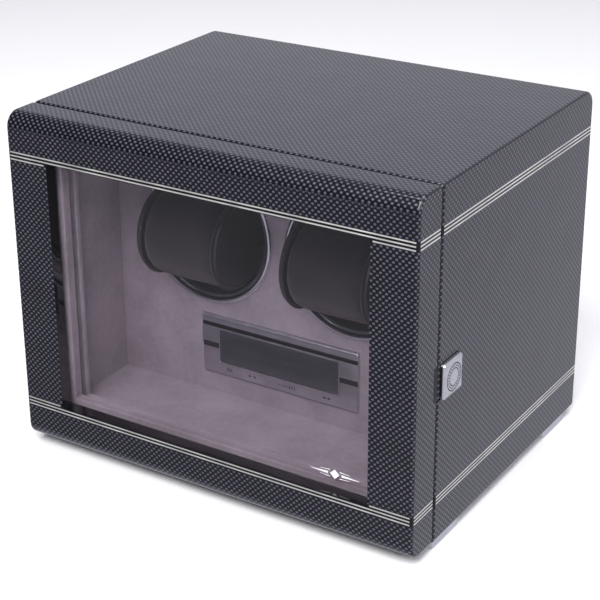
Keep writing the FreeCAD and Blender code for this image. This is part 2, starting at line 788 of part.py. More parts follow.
hatch_y = (back - size.hatch_thick, back)
hatch_outer = rectangle((-size.hatch_half, size.hatch_half), (size.hatch_low, size.hatch_high))
cover_gap = 0.3
cover_x = (-size.hatch_half + cover_gap, size.hatch_half - cover_gap)
cover_outline = rectangle(cover_x, (size.hatch_low + cover_gap, size.hatch_high - cover_gap))
cover_body, cover_pad = plate_body("hatch_plate", "XZ_Plane", [cover_outline],
                                   size.hatch_thick, (0.0, hatch_y[0], 0.0), True)
vents = []
VENT_COUNT, VENT_PITCH, VENT_WIDE, VENT_TALL = 9, 7.0, 2.5, 34.0
for number in range(VENT_COUNT):
    x = (number - (VENT_COUNT - 1) / 2) * VENT_PITCH - VENT_WIDE / 2
    vents.append(box(f"vent_{number}", (Size(x), Size(x + VENT_WIDE)), (hatch_y[0] - 1.0, back + 1.0),
                     (size.rotor_z, size.rotor_z + VENT_TALL)))
inlet_hole = rod("inlet_hole", "y", size.inlet_body, (hatch_y[0] - 1.0, back + 1.0), inlet_at)
inlet_seat = rod("inlet_seat", "y", size.inlet_rim, (back - size.rim_thick, back + 1.0), inlet_at)
keep(cut("hatch_cut", cover_body, [*vents, inlet_hole, inlet_seat, screw_group]), "rear_cover")

rear_loops = [rectangle(between, (slab_low, slab_high)),
              rectangle((-size.hatch_half + ledge, size.hatch_half - ledge),
                        (size.hatch_low + ledge, size.hatch_high - ledge))]
rear_body, rear_pad = plate_body("rear_blank", "XZ_Plane", rear_loops, size.rear_thick,
                                 (0.0, rear_y, 0.0), True)
hatch_seat = box("hatch_seat", (-size.hatch_half, size.hatch_half), (hatch_y[0], back + 1.0),
                 (size.hatch_low, size.hatch_high))
keep(cut("rear_cut", rear_body, [hatch_seat, screw_group]), "rear_panel")

feet, foot_pads = [], []
for side_name, sign in SIDES.items():
    x = sorted((sign * (half - 1.0), sign * (half - 1.0 - size.foot_wide)), key=float)
    for end, low in (("front", joint_y + 0.4), ("rear", front + size.rear_foot)):
        y = (low, low + size.foot_long)
        block = box(f"{side_name}_{end}_foot_raw", x, y, (size.pad_thick, size.foot_height))
        feet.append(rounded(f"{side_name}_{end}_foot", block, 0.5, lambda e: near(middle(e).z, 1.0)
                            or along(e, "z")))
        inset = 2.0
        foot_pads.append(box(f"{side_name}_{end}_pad", (x[0] + inset, x[1] - inset),
                             (y[0] + inset, y[1] - inset), (ZERO, size.pad_thick)))
keep(group("feet", feet), "feet")
keep(group("foot_pads", foot_pads), "foot_pads")

# ---------------------------------------------------------------- suede-lined inside

lining_y = (trim_y + size.trim_thick, fascia_y)
trim_body, trim_pad = frame_body("trim", (inner_half, slab_low, slab_high),
                                 (size.trim_half, size.trim_low, size.trim_high), size.trim_thick, trim_y)
soften(trim_body, trim_pad, size.suede_round, lambda e: near(middle(e).y, 0)
       and abs(middle(e).x) < size.trim_half + 0.1 and not along(e, "y")
       and size.trim_low - 0.1 < middle(e).z < size.trim_high + 0.1)
keep(trim_body, "opening_trim")
keep(box("lining_left", (-inner_half, -lining_half), lining_y, (slab_low, slab_high)), "left_lining")
keep(box("lining_right", (lining_half, inner_half), lining_y, (slab_low, slab_high)), "right_lining")
keep(box("lining_floor", (-lining_half, lining_half), lining_y, (slab_low, floor_z)), "floor_lining")
keep(box("lining_ceiling", (-lining_half, lining_half), lining_y, (ceiling_z, slab_high)), "ceiling_lining")

display_x = (-size.display_half, size.display_half)
display_z = (size.display_low, size.display_high)
module_x = (display_x[0] - 2.0, display_x[1] + 2.0)
module_z = (display_z[0] - 2.0, display_z[1] + 2.0)
fascia_board = box("fascia_board", between, (fascia_y, fascia_back), (slab_low, slab_high))
holes = [rod(f"{side_name}_hole", "y", size.hole_radius, (fascia_y - 1.0, fascia_back + 1.0),
             (sign * size.rotor_x, size.rotor_z)) for side_name, sign in SIDES.items()]
module_hole = box("module_hole", module_x, (fascia_y - 1.0, fascia_back + 1.0), module_z)
keep(cut("fascia_cut", fascia_board, [*holes, module_hole]), "fascia")

# ---------------------------------------------------------------- control panel

panel_y = fascia_y - size.panel_thick
panel_loops = [rectangle((-size.panel_half, size.panel_half), (size.panel_low, size.panel_high)),
               rectangle(display_x, display_z)]
panel_body, panel_pad = plate_body("panel_plate", "XZ_Plane", panel_loops, size.panel_thick,
                                   (0.0, panel_y, 0.0), True)
panel_top = soften(panel_body, panel_pad, size.panel_round, lambda e: along(e, "x")
                   and near(middle(e).y, 0) and near(middle(e).z, size.panel_high))
soften(panel_body, panel_top, size.panel_edge, lambda e: along(e, "z") and near(middle(e).y, 0)
       and abs(middle(e).x) > size.display_half + 1.0)
keep(panel_body, "control_plate")
lens_y = panel_y + size.display_sink
fit = 0.1
keep(box("lens", (display_x[0] + fit, display_x[1] - fit), (lens_y, fascia_y),
         (display_z[0] + fit, display_z[1] - fit)), "display_window")
keep(box("module", (module_x[0] + fit, module_x[1] - fit), (fascia_y, fascia_back - 1.0),
         (module_z[0] + fit, module_z[1] - fit)), "display_module")
board_y = fascia_back + size.board_gap
board_face = board_y + size.board_thick
board_back = board_face + size.part_tall
board_parts = [box("board", (-size.board_half, size.board_half), (board_y, board_face),
                   (size.board_low, size.board_high))]
for number, (x, z, wide, tall) in enumerate(((-20.0, 66.0, 12.0, 12.0), (18.0, 70.0, 8.0, 5.0),
                                             (40.0, 56.0, 14.0, 6.0), (-45.0, 56.0, 14.0, 6.0))):
    board_parts.append(box(f"board_part_{number}", (Size(x), Size(x + wide)), (board_face, board_back),
                           (Size(z), Size(z + tall))))
standoffs = [rod(f"board_post_{number}", "y", size.standoff_radius, (fascia_back, board_y), at)
             for number, at in enumerate((x, z) for x in (-size.standoff_x, size.standoff_x)
                                         for z in (size.standoff_low, size.standoff_high))]
keep(fuse("board_whole", board_parts + standoffs), "control_board")

# ---------------------------------------------------------------- rotors and their drive

gear_radius = size.gear_teeth / 2
pinion_radius = size.pinion_teeth / 2
motor_drop = gear_radius + pinion_radius
plate_y = front + size.plate_front
plate_back = plate_y + size.plate_thick
gear_y = front + size.gear_front
cup_y = front + size.cup_back
motor_back = plate_back + size.motor_length + size.motor_boss


def toothed(name, teeth, pitch_radius, bore, tooth_along_z, at):
    """A spur gear in the XZ plane: a disc, one straight-flanked tooth and its polar pattern."""
    body = new_body(name)
    root = pitch_radius - size.tooth_drop
    disc = pad(body, circle_on(body, "XZ_Plane", root), size.gear_thick, True)
    slope = math.tan(math.radians(20.0))
    foot = size.tooth_width / 2 + (size.tooth_drop + 0.3) * slope
    tip = size.tooth_width / 2 - size.tooth_rise * slope
    low, high = root - 0.3, pitch_radius + size.tooth_rise
    corners = [(low, -foot), (high, -tip), (high, tip), (low, foot)]
    if tooth_along_z:
        corners = [(-v, u) for u, v in corners]
    tooth = pad(body, sketch_on(body, "XZ_Plane", [corners], "Tooth"), size.gear_thick, True)
    pattern = body.newObject("PartDesign::PolarPattern", "Teeth")
    pattern.Originals = [tooth]
    pattern.Axis = (next(a for a in body.Origin.OriginFeatures if a.Role == "Y_Axis"), [""])
    pattern.Angle = 360.0
    pattern.Occurrences = int(teeth)
    body.Tip = pattern
    doc.recompute()
    place(body, *at)
    hole = rod(f"{name}_bore", "y", bore, (at[1] - 1.0, at[1] + size.gear_thick + 1.0), (at[0], at[2]))
    return cut(f"{name}_bored", body, [hole])


plate_tools = []
bushes = []
for side_name, sign in SIDES.items():
    x, z = sign * size.rotor_x, size.rotor_z
    motor_z = z - motor_drop
    ring = turned(f"{side_name}_ring_body", [
        (size.ring_inner, -size.ring_proud), (size.ring_inner + 2.0, -size.ring_proud),
        (size.ring_outer, -size.ring_step), (size.ring_outer, ZERO), (size.hole_radius, ZERO),
        (size.hole_radius, size.ring_deep), (size.ring_inner, size.ring_deep)], (x, fascia_y, z))
    keep(ring, f"{side_name}_ring")
    inner_back = size.cup_back - size.fascia_front - size.cup_floor
    outer_back = size.cup_back - size.fascia_front
    cup = turned(f"{side_name}_cup_body", [
        (size.cup_inner + 0.6, -size.lip_front), (size.lip_outer, -size.lip_front),
        (size.lip_outer, size.lip_back), (size.cup_outer, size.lip_back + 1.0),
        (size.cup_outer, outer_back), (size.neck_radius, outer_back), (size.neck_radius, inner_back),
        (size.cup_inner, inner_back), (size.cup_inner, size.lip_back)], (x, fascia_y, z))
    keep(cup, f"{side_name}_cup")
    shaft_neck = rod(f"{side_name}_shaft_neck", "y", size.neck_radius, (cup_y - size.cup_floor, cup_y),
                     (x, z))
    shaft_main = rod(f"{side_name}_shaft_main", "y", size.shaft_radius, (cup_y, front + size.shaft_end),
                     (x, z))
    keep(fuse(f"{side_name}_shaft_whole", [shaft_neck, shaft_main]), f"{side_name}_rotor_shaft")
    keep(toothed(f"{side_name}_gear_body", size.gear_teeth, gear_radius, size.shaft_radius, False,
                 (x, gear_y, z)), f"{side_name}_drive_gear")
    bush_at = (x, z)
    bush_bore = rod(f"{side_name}_bush_bore", "y", size.shaft_radius + size.running_fit,
                    (plate_y - 3.0, plate_back + 3.0), bush_at)
    bush_outer = fuse(f"{side_name}_bush_outer", [
        rod(f"{side_name}_bush_tube", "y", size.bush_radius, (plate_y, plate_back + 1.0), bush_at),
        rod(f"{side_name}_bush_flange", "y", size.bush_radius + size.flange_wide,
            (plate_y - size.flange_thick, plate_y), bush_at)])
    bushes.append(cut(f"{side_name}_bush", bush_outer, [bush_bore]))
    plate_tools.append(rod(f"{side_name}_bush_seat", "y", size.bush_radius, (plate_y - 1.0, plate_back + 1.0),
                           bush_at))
    motor_at = (x, motor_z)
    plate_tools.append(rod(f"{side_name}_motor_seat", "y", size.nose_seat, (plate_y - 1.0, plate_back + 1.0),
                           motor_at))
    motor_can = rod(f"{side_name}_motor_can", "y", size.motor_radius,
                    (plate_back, plate_back + size.motor_length), motor_at)
    motor_nose = rod(f"{side_name}_motor_nose", "y", size.nose_radius, (plate_y, plate_back), motor_at)
    motor_hole = rod(f"{side_name}_motor_hole", "y", size.motor_shaft + size.running_fit,
                     (plate_y - 1.0, plate_y + 9.0), motor_at)
    motor_end = rod(f"{side_name}_motor_end", "y", size.nose_seat,
                    (plate_back + size.motor_length, motor_back), motor_at)
    keep(cut(f"{side_name}_motor_whole", fuse(f"{side_name}_motor_solid", [motor_can, motor_nose, motor_end]),
             [motor_hole]), f"{side_name}_motor")
    pinion = toothed(f"{side_name}_pinion_body", size.pinion_teeth, pinion_radius, size.motor_shaft, True,
                     (x, gear_y, motor_z))
    spindle = rod(f"{side_name}_spindle", "y", size.motor_shaft, (gear_y - 1.0, plate_y + 8.0), motor_at)
    keep(fuse(f"{side_name}_pinion_whole", [pinion, spindle]), f"{side_name}_motor_pinion")

    # the cushion is a soft sleeve on a spool, gripped by two leaf arms on the cup's floor
    cuff_y = front + size.cuff_y
    sleeve_half = size.cuff_half - size.disc_thick
    sleeve_x = (x - sleeve_half, x + sleeve_half)
    sleeve_raw = rod(f"{side_name}_sleeve_raw", "x", size.cuff_radius, sleeve_x, (cuff_y, z))
    sleeve_round = rounded(f"{side_name}_sleeve_round", sleeve_raw, 6.0,
                           lambda e: not along(e, "x") and e.BoundBox.YLength > 1.0)
    sleeve_bore = rod(f"{side_name}_sleeve_bore", "x", size.spool_radius,
                      (sleeve_x[0] - 1.0, sleeve_x[1] + 1.0), (cuff_y, z))
    keep(cut(f"{side_name}_sleeve", sleeve_round, [sleeve_bore]), f"{side_name}_cushion")
    spool_parts = [rod(f"{side_name}_spool_core", "x", size.spool_radius, sleeve_x, (cuff_y, z))]
    for end, low in (("a", x - size.cuff_half), ("b", x + sleeve_half)):
        disc = rod(f"{side_name}_spool_disc_{end}", "x", size.disc_radius, (low, low + size.disc_thick),
                   (cuff_y, z))
        outer_x = low if end == "a" else low + size.disc_thick
        spool_parts.append(rounded(f"{side_name}_spool_round_{end}", disc, 1.2, lambda e: near(
            e.BoundBox.XMin, outer_x) and near(e.BoundBox.XMax, outer_x) and e.BoundBox.YLength > 1.0))
    keep(fuse(f"{side_name}_spool_whole", spool_parts), f"{side_name}_spool")
    floor_y = cup_y - size.cup_floor
    arm_in = size.cuff_half + size.clip_gap
    arm_z = (z - size.clip_half, z + size.clip_half)
    clip_parts = [box(f"{side_name}_clip_base", (x - arm_in, x + arm_in),
                      (floor_y - size.clip_thick, floor_y), arm_z)]
    for end, low in (("a", x - arm_in - size.clip_thick), ("b", x + arm_in)):
        clip_parts.append(box(f"{side_name}_clip_arm_{end}", (low, low + size.clip_thick),
                              (fascia_y + 8.0, floor_y), arm_z))
    keep(fuse(f"{side_name}_clip_whole", clip_parts), f"{side_name}_cushion_clip")

keep(group("bush_pair", bushes), "rotor_bushes")

posts, post_screws = [], []
for number, (x, z) in enumerate((x, z) for x in (-size.post_x, size.post_x)
                                for z in (size.post_low, size.post_high)):
    posts.append(rod(f"post_{number}_solid", "y", size.post_radius, (fascia_back, plate_y), (x, z)))
    head = rod(f"post_screw_head_{number}", "y", size.screw_head,
               (plate_back, plate_back + size.head_tall), (x, z))
    shank = rod(f"post_screw_shank_{number}", "y", size.screw_shank,
                (plate_y - size.shank_long, plate_back), (x, z))
    post_screws.append(fuse(f"post_screw_{number}", [head, shank]))
post_screw_group = keep(group("post_screws", post_screws), "drive_plate_screws")
keep(cut("post_set", group("posts", posts), [post_screw_group]), "plate_posts")
drive_blank = box("drive_blank", (-size.plate_half, size.plate_half), (plate_y, plate_back),
                  (size.post_low - 10.0, size.post_high + 10.0))
keep(cut("drive_cut", drive_blank, [*plate_tools, post_screw_group]), "drive_plate")

# ---------------------------------------------------------------- wiring


def lead(name, radius, points):
    """A cable: straight runs joined by tangent arcs as large as the runs allow."""
    stops = [Vector(*[float(c) for c in p]) for p in points]
    edges, start = [], stops[0]
    for before, corner, after in zip(stops, stops[1:], stops[2:]):
        into, out = (corner - before).normalize(), (after - corner).normalize()
        turn = into.getAngle(out)
        reach = 0.45 * min((corner - before).Length, (after - corner).Length)
        bend = reach / math.tan(turn / 2)
        a, b = corner - into * reach, corner + out * reach
        towards = (out - into).normalize()
        centre = corner + towards * (bend / math.cos(turn / 2))
        halfway = centre - towards * bend
        edges.append(Part.LineSegment(start, a).toShape())
        edges.append(Part.Arc(a, halfway, b).toShape())
        start = b
    edges.append(Part.LineSegment(start, stops[-1]).toShape())
    path = Part.Wire(edges)
    heading = stops[1] - stops[0]
    section = Part.Wire(Part.makeCircle(radius, stops[0], heading))
    made = doc.addObject("Part::Feature", name)
    made.Shape = path.makePipeShell([section], True, False)
    return made


lead_z = size.rotor_z - motor_drop
LEFT_PLUG, RIGHT_PLUG, MOTOR_PLUG_Z = Size(-38.0), Size(47.0), Size(59.0)
POWER_PLUG = (Size(22.0), Size(72.5))
leads = []
for side_name, sign in SIDES.items():
    x = sign * size.rotor_x
    plug_x = RIGHT_PLUG if sign > 0 else LEFT_PLUG
    leads.append(lead(f"{side_name}_motor_lead", float(size.motor_lead), [
        (x, motor_back, lead_z),
        (x, motor_back + 12.0, lead_z),
        (x - sign * 3.0, motor_back + 14.0, lead_z - 24.0),
        (x - sign * 6.0, motor_back - 10.0, lead_z - 44.0),
        (plug_x, motor_back - 40.0, MOTOR_PLUG_Z - 1.0),
        (plug_x, board_back + 10.0, MOTOR_PLUG_Z),
        (plug_x, board_back, MOTOR_PLUG_Z)]))
inlet_end = back - size.inlet_long
leads.append(lead("power_lead", float(size.power_lead), [
    (inlet_at[0], inlet_end, inlet_at[1]),
    (inlet_at[0], inlet_end - 14.0, inlet_at[1]),
    (inlet_at[0] - 8.0, inlet_end - 34.0, inlet_at[1] - 14.0),
    (POWER_PLUG[0] + 2.0, inlet_end - 66.0, POWER_PLUG[1] - 6.5),
    (POWER_PLUG[0], board_back + 12.0, POWER_PLUG[1]),
    (POWER_PLUG[0], board_back, POWER_PLUG[1])]))
keep(group("leads", leads), "wiring_leads")

# ---------------------------------------------------------------- checks and files

doc.recompute()
for obj in doc.Objects:
    faults = [s for s in obj.State if s in ("Invalid", "Error")]
    if faults:
        raise RuntimeError(f"{obj.Label} is {faults}")
os.makedirs("parts", exist_ok=True)
labels = [obj.Label for obj in nodes]
if len(set(labels)) != len(labels):
    raise RuntimeError("two pieces have one name")
for obj in nodes:
    shape = obj.Shape
    if shape.isNull() or not shape.isValid() or not shape.Solids:
        raise RuntimeError(f"{obj.Label} has no valid solid")
    shape.exportStep(os.path.join("parts", f"{obj.Label}.step"))
print(len(nodes), "pieces:", ", ".join(sorted(labels)))
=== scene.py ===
# Twin watch winder: the looks of every piece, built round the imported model. Metres, +Z up, door at -Y.
# Sizes below are in millimetres, and MM turns them to metres where a mesh or a node takes them.
import math

import bpy
from mathutils import Matrix, Vector


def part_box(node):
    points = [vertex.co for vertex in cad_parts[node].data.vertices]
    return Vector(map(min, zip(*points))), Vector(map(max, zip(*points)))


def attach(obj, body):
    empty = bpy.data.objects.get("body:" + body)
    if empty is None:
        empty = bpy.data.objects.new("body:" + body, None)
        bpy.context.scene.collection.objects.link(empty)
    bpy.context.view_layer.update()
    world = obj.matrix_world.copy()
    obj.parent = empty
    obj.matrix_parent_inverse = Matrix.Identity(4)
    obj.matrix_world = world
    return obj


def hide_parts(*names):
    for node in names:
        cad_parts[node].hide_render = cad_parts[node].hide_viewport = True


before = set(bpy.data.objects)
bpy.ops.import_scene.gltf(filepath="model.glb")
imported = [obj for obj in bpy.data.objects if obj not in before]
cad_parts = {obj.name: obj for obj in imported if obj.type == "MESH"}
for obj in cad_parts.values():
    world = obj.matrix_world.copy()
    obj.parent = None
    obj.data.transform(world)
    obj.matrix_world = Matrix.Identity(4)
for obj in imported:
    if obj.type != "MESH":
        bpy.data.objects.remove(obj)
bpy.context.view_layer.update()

MM = 0.001
X, Y, Z = range(3)
SIDES = {"left": -1, "right": 1}


def box_mm(node):
    """The low and high corners of a CAD node, in millimetres."""
    low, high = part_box(node)
    return [c / MM for c in low], [c / MM for c in high]


CASE_LOW = box_mm("left_side_panel")[0]
TOP_HIGH = box_mm("top_panel")[1]
DOOR_LOW, DOOR_HIGH = box_mm("door_frame")
TRIM_LOW, TRIM_HIGH = box_mm("opening_trim")
GLASS_LOW = box_mm("door_glass")[0]
HALF, FRONT, BACK = DOOR_HIGH[X], DOOR_LOW[Y], TOP_HIGH[Y]
SKIN = 0.05  # the lacquered skins lie this far inside the solids, so the inlaid lines stand just proud
EDGE_ROUND, LONG_ROUND, FRONT_ROUND, REAR_ROUND, HEEL_ROUND = 2.0, 2.2, 10.5, 11.5, 3.0
WINDOW_HALF, WINDOW_LOW, WINDOW_HIGH, REVEAL = 122.0, 37.0, 216.2, 9.6
REBATE_HALF, REBATE_LOW, REBATE_HIGH = 131.0, 28.4, 224.6
TRIM_HALF, TRIM_BOTTOM, TRIM_TOP = 123.5, 33.5, 218.3
RETAINER_HALF, RETAINER_LOW, RETAINER_HIGH = 121.6, 38.0, 215.2
LINE_MIDDLES, LINE_PITCH, LINE_WIDTH = (217.34, 35.36), 2.44, 1.0
TOW = 2.1  # width of one printed strand of the weave
ROTOR_X, ROTOR_Z, HOLE_RADIUS = 57.6, 151.6, 49.6
CUFF_Y, CUFF_HALF, CUFF_RADIUS, CORE_RADIUS = -40.5, 30.5, 33.5, 14.0
DISC_RADIUS, DISC_THICK = 31.5, 2.5
SWELL = 1.7  # the furthest that the cushion's cloth may move
CLOTH_FRAMES = 20
PAST = 5.0  # how far a cutter stands out past the faces that it opens
CLEARANCE = 0.1  # round the display and its module
HATCH_HALF, HATCH_LOW, HATCH_HIGH, HATCH_THICK, LEDGE = 110.0, 66.0, 196.0, 3.0, 8.0
ORNAMENT = (92.5, 45.5)  # middle of the print on the glass
MARKS_Z = 49.4  # height of the touch marks on the control plate
LATCH_Y, LATCH_Z, BUTTON_HALF, BUTTON_THICK, RECESS, ENGRAVED = -80.7, 118.0, 12.0, 5.8, 4.4, 0.28
ENGRAVED_RINGS = ((8.6, 0.7), (5.4, 0.6))  # inner radius and width of each
BEADS, BEAD_CIRCLE, BEAD_RADIUS = 24, 7.3, 0.55

# ---------------------------------------------------------------- materials


def colour(code):
    """A linear colour from an sRGB hex value."""
    parts = [int(code[i:i + 2], 16) / 255 for i in (0, 2, 4)]
    return [*(c / 12.92 if c <= 0.04045 else ((c + 0.055) / 1.055) ** 2.4 for c in parts), 1.0]


def add(tree, kind, inputs=None, out=0, stops=None, **settings):
    """Adds a node with its settings and inputs, each a value, a hex colour or another node's output."""
    made = tree.nodes.new(kind)
    for name, value in settings.items():
        setattr(made, name, value)
    for key, value in (inputs or {}).items():
        if isinstance(value, bpy.types.NodeSocket):
            tree.links.new(value, made.inputs[key])
        else:
            made.inputs[key].default_value = colour(value) if isinstance(value, str) else value
    for place, code in stops or ():
        elements = made.color_ramp.elements
        spot = 0 if place == stops[0][0] else len(elements) - 1
        if place not in (stops[0][0], stops[-1][0]):
            elements.new(place).color = colour(code)
        else:
            elements[spot].position, elements[spot].color = place, colour(code)
    return made.outputs[out] if made.outputs else made


def blank(name):
    """A new material with an empty tree."""
    made = bpy.data.materials.new(name)
    made.use_nodes = True
    made.node_tree.nodes.clear()
    return made, made.node_tree


def close(tree, inputs):
    """Ends a tree in one Principled shader with these inputs."""
    add(tree, "ShaderNodeOutputMaterial", {"Surface": add(tree, "ShaderNodeBsdfPrincipled", inputs)})


def grains(tree, where, size_mm, stretch=(1, 1, 1), detail=3.0):
    """Noise with grains of this size, drawn out by stretch."""
    spread = add(tree, "ShaderNodeMapping", {"Vector": where, "Scale": [s / MM / size_mm for s in stretch]})
    return add(tree, "ShaderNodeTexNoise", {"Vector": spread, "Scale": 1.0, "Detail": detail})


def woven_lacquer():
    """Printed plain weave under thick polyester lacquer, flatted and buffed.

    The crossings that lie on top show as short grey dashes on near black, a painted highlight for the gloss
    of the fibres, partly metallic so that they also follow the room's light; the crossings below get a
    fainter painted sheen. The lacquer over them is smooth and mirrors the room, and the strips beside the
    inlaid lines are solid black.
    """
    made, tree = blank("woven_sheet_with_painted_glints_under_polyester_lacquer")
    uv = add(tree, "ShaderNodeUVMap", uv_map="wrap")
    waves = []
    for axis in (X, Y):
        part = add(tree, "ShaderNodeSeparateXYZ", {0: uv}, axis)
        turn = add(tree, "ShaderNodeMath", {0: part, 1: math.pi / (TOW * MM)}, operation="MULTIPLY")
        waves.append(add(tree, "ShaderNodeMath", {0: turn}, operation="SINE"))
    product = add(tree, "ShaderNodeMath", {0: waves[X], 1: waves[Y]}, operation="MULTIPLY")
    flat = [add(tree, "ShaderNodeMath", {0: wave}, operation="ABSOLUTE") for wave in waves]
    long_way = add(tree, "ShaderNodeMath", {0: flat[X], 1: 0.4}, operation="POWER")
    short_way = add(tree, "ShaderNodeMath", {0: flat[Y], 1: 0.9}, operation="POWER")
    pillow = add(tree, "ShaderNodeMath", {0: long_way, 1: short_way}, operation="MULTIPLY")
    over = add(tree, "ShaderNodeMath", {0: product, 1: 0.0}, operation="GREATER_THAN")
    under = add(tree, "ShaderNodeMath", {0: product, 1: 0.0}, operation="LESS_THAN")
    weft = add(tree, "ShaderNodeMath", {0: pillow, 1: over}, operation="MULTIPLY")
    warp = add(tree, "ShaderNodeMath", {0: pillow, 1: under}, operation="MULTIPLY")
    fibres = grains(tree, uv, 0.25, (0.15, 1.0, 1.0), 2.0)
    patches = grains(tree, uv, 22.0)
    streaks = add(tree, "ShaderNodeMath", {0: fibres, 1: 0.6, 2: 0.7}, operation="MULTIPLY_ADD")
    uneven = add(tree, "ShaderNodeMath", {0: patches, 1: 0.5, 2: 0.75}, operation="MULTIPLY_ADD")
    # painted highlight: the weft crossings are lifted to grey dashes where the fibres would catch the light
    lit = add(tree, "ShaderNodeMath", {0: weft, 1: streaks}, operation="MULTIPLY")
    lit = add(tree, "ShaderNodeMath", {0: lit, 1: uneven}, operation="MULTIPLY")
    dashes = add(tree, "ShaderNodeValToRGB", {0: lit}, stops=[
        (0.0, "0a0a10"), (0.25, "16161f"), (0.6, "464652"), (1.0, "62626f")])
    # painted sheen: the warp crossings are lifted a little towards dark grey
    shade = add(tree, "ShaderNodeMath", {0: warp, 1: 0.3}, operation="MULTIPLY")
    cloth = add(tree, "ShaderNodeMix", {"Factor": shade, 6: dashes, 7: "191922"}, 2, data_type="RGBA")
    height = add(tree, "ShaderNodeSeparateXYZ", {0: add(tree, "ShaderNodeTexCoord", out="Object")}, Z)
    near_line = None
    for middle in LINE_MIDDLES:
        away = add(tree, "ShaderNodeMath", {0: height, 1: middle * MM}, operation="SUBTRACT")
        away = add(tree, "ShaderNodeMath", {0: away}, operation="ABSOLUTE")
        reach = (LINE_PITCH + LINE_WIDTH) * MM
        strip = add(tree, "ShaderNodeMath", {0: away, 1: reach}, operation="LESS_THAN")
        near_line = strip if near_line is None else add(
            tree, "ShaderNodeMath", {0: near_line, 1: strip}, operation="MAXIMUM")
    base = add(tree, "ShaderNodeMix", {"Factor": near_line, 6: cloth, 7: "08080b"}, 2, data_type="RGBA")
    relief = add(tree, "ShaderNodeBump", {"Height": weft, "Strength": 0.25, "Distance": 0.12 * MM})
    close(tree, {"Base Color": base, "Normal": relief, "Roughness": 0.42, "IOR": 1.45, "Metallic": 0.4,
                 "Specular IOR Level": 0.2, "Coat Weight": 1.0, "Coat Roughness": 0.03, "Coat IOR": 1.4})
    return made


def surface(name, dark, light, roughness, metallic=0.0, grain_mm=0.4, relief_mm=0.01, stretch=(1, 1, 1),
            **more):
    """A plain finish whose tone and gloss drift a little, over fine tooling or moulding grain."""
    made, tree = blank(name)
    where = add(tree, "ShaderNodeTexCoord", out="Object")
    drift = grains(tree, where, 18.0)
    fine = grains(tree, where, grain_mm, stretch, 4.0)
    tone = add(tree, "ShaderNodeMath", {0: fine, 1: 0.4, 2: 0.3}, operation="MULTIPLY_ADD")
    tone = add(tree, "ShaderNodeMath", {0: tone, 1: drift}, operation="MULTIPLY")
    tone = add(tree, "ShaderNodeMath", {0: tone, 1: 2.0}, operation="MULTIPLY")
    paint = add(tree, "ShaderNodeValToRGB", {0: tone}, stops=[(0.25, dark), (0.75, light)])
    gloss = add(tree, "ShaderNodeMath", {0: drift, 1: roughness * 0.6, 2: roughness * 0.7},
                operation="MULTIPLY_ADD")
    relief = add(tree, "ShaderNodeBump", {"Height": fine, "Strength": 0.6, "Distance": relief_mm * MM})
    close(tree, {"Base Color": paint, "Roughness": gloss, "Metallic": metallic, "Normal": relief, **more})
    return made


def suede(name, dark, light, nap_mm):
    """Microfibre suede glued over board: a short brushed nap, lighter where it leans to the light."""
    made, tree = blank(name)
    where = add(tree, "ShaderNodeTexCoord", out="Object")
    hairs = grains(tree, where, nap_mm, detail=5.0)
    lean = grains(tree, where, 30.0)
    mottle = grains(tree, where, 4.0)
    tone = add(tree, "ShaderNodeMath", {0: hairs, 1: 0.55, 2: -0.28}, operation="MULTIPLY_ADD")
    tone = add(tree, "ShaderNodeMath", {0: lean, 1: 0.7, 2: tone}, operation="MULTIPLY_ADD")
    tone = add(tree, "ShaderNodeMath", {0: mottle, 1: 0.3, 2: tone}, operation="MULTIPLY_ADD")
    nap = add(tree, "ShaderNodeValToRGB", {0: tone}, stops=[(0.25, dark), (0.75, light)])
    relief = add(tree, "ShaderNodeBump", {"Height": hairs, "Strength": 0.6, "Distance": 0.15 * MM})
    close(tree, {"Base Color": nap, "Normal": relief, "Roughness": 0.95, "Specular IOR Level": 0.2,
                 "Sheen Weight": 0.3, "Sheen Roughness": 0.5, "Sheen Tint": colour("c9b8bd")})
    return made


def float_glass():
    """Polished float glass: it shows the inside unbent and mirrors a little of the room."""
    made, tree = blank("clear_float_glass")
    clear = add(tree, "ShaderNodeBsdfTransparent", {"Color": "faf8fb"})
    mirror = add(tree, "ShaderNodeBsdfPrincipled",
                 {"Base Color": "ffffff", "Metallic": 1.0, "Roughness": 0.01})
    gloss = add(tree, "ShaderNodeFresnel", {"IOR": 1.75})
    leaving = add(tree, "ShaderNodeNewGeometry", out="Backfacing")
    entering = add(tree, "ShaderNodeMath", {0: 1.0, 1: leaving}, operation="SUBTRACT")
    gloss = add(tree, "ShaderNodeMath", {0: gloss, 1: entering}, operation="MULTIPLY")
    pane = add(tree, "ShaderNodeMixShader", {0: gloss, 1: clear, 2: mirror})
    add(tree, "ShaderNodeOutputMaterial", {"Surface": pane})
    return made


WEAVE_WITH_PAINTED_GLINTS = woven_lacquer()
# black polyester lacquer, sprayed and buffed: deep black with a clear mirror
BLACK_LACQUER = surface("buffed_black_polyester_lacquer", "08080a", "0d0d10", 0.06, 0.0, 3.0, 0.003,
                        **{"Coat Weight": 1.0, "Coat Roughness": 0.02})
# nickel silver strip, sanded flush with the lacquer: a clean white line with a satin face
LINE_METAL = surface("inlaid_nickel_silver_strip", "ecebe6", "fbfbf6", 0.6, 1.0, 0.6, 0.003)
# chrome plate on a lightly tumbled zinc casting: a bright, slightly blurred mirror
CHROME = surface("chrome_plate", "d9d9de", "ececf0", 0.2, 1.0, 2.0, 0.002)
# zinc-plated pressed steel: soft grey, slightly cloudy
STEEL = surface("zinc_plated_steel", "8d8f94", "aeb0b5", 0.33, 1.0, 0.5, 0.01)
# blackened spring steel strip: dark, oily sheen
SPRING_STEEL = surface("blackened_spring_steel", "1c1c20", "2c2c31", 0.35, 1.0, 0.5, 0.01)
# free-cutting brass, turned: warm metal with fine rings of tooling
BRASS = surface("turned_brass", "a8843f", "c6a05a", 0.25, 1.0, 0.3, 0.01)
# aluminium bar, turned: pale metal with fine tooling
ALUMINIUM = surface("turned_aluminium", "adafb3", "c8cace", 0.3, 1.0, 0.3, 0.01)
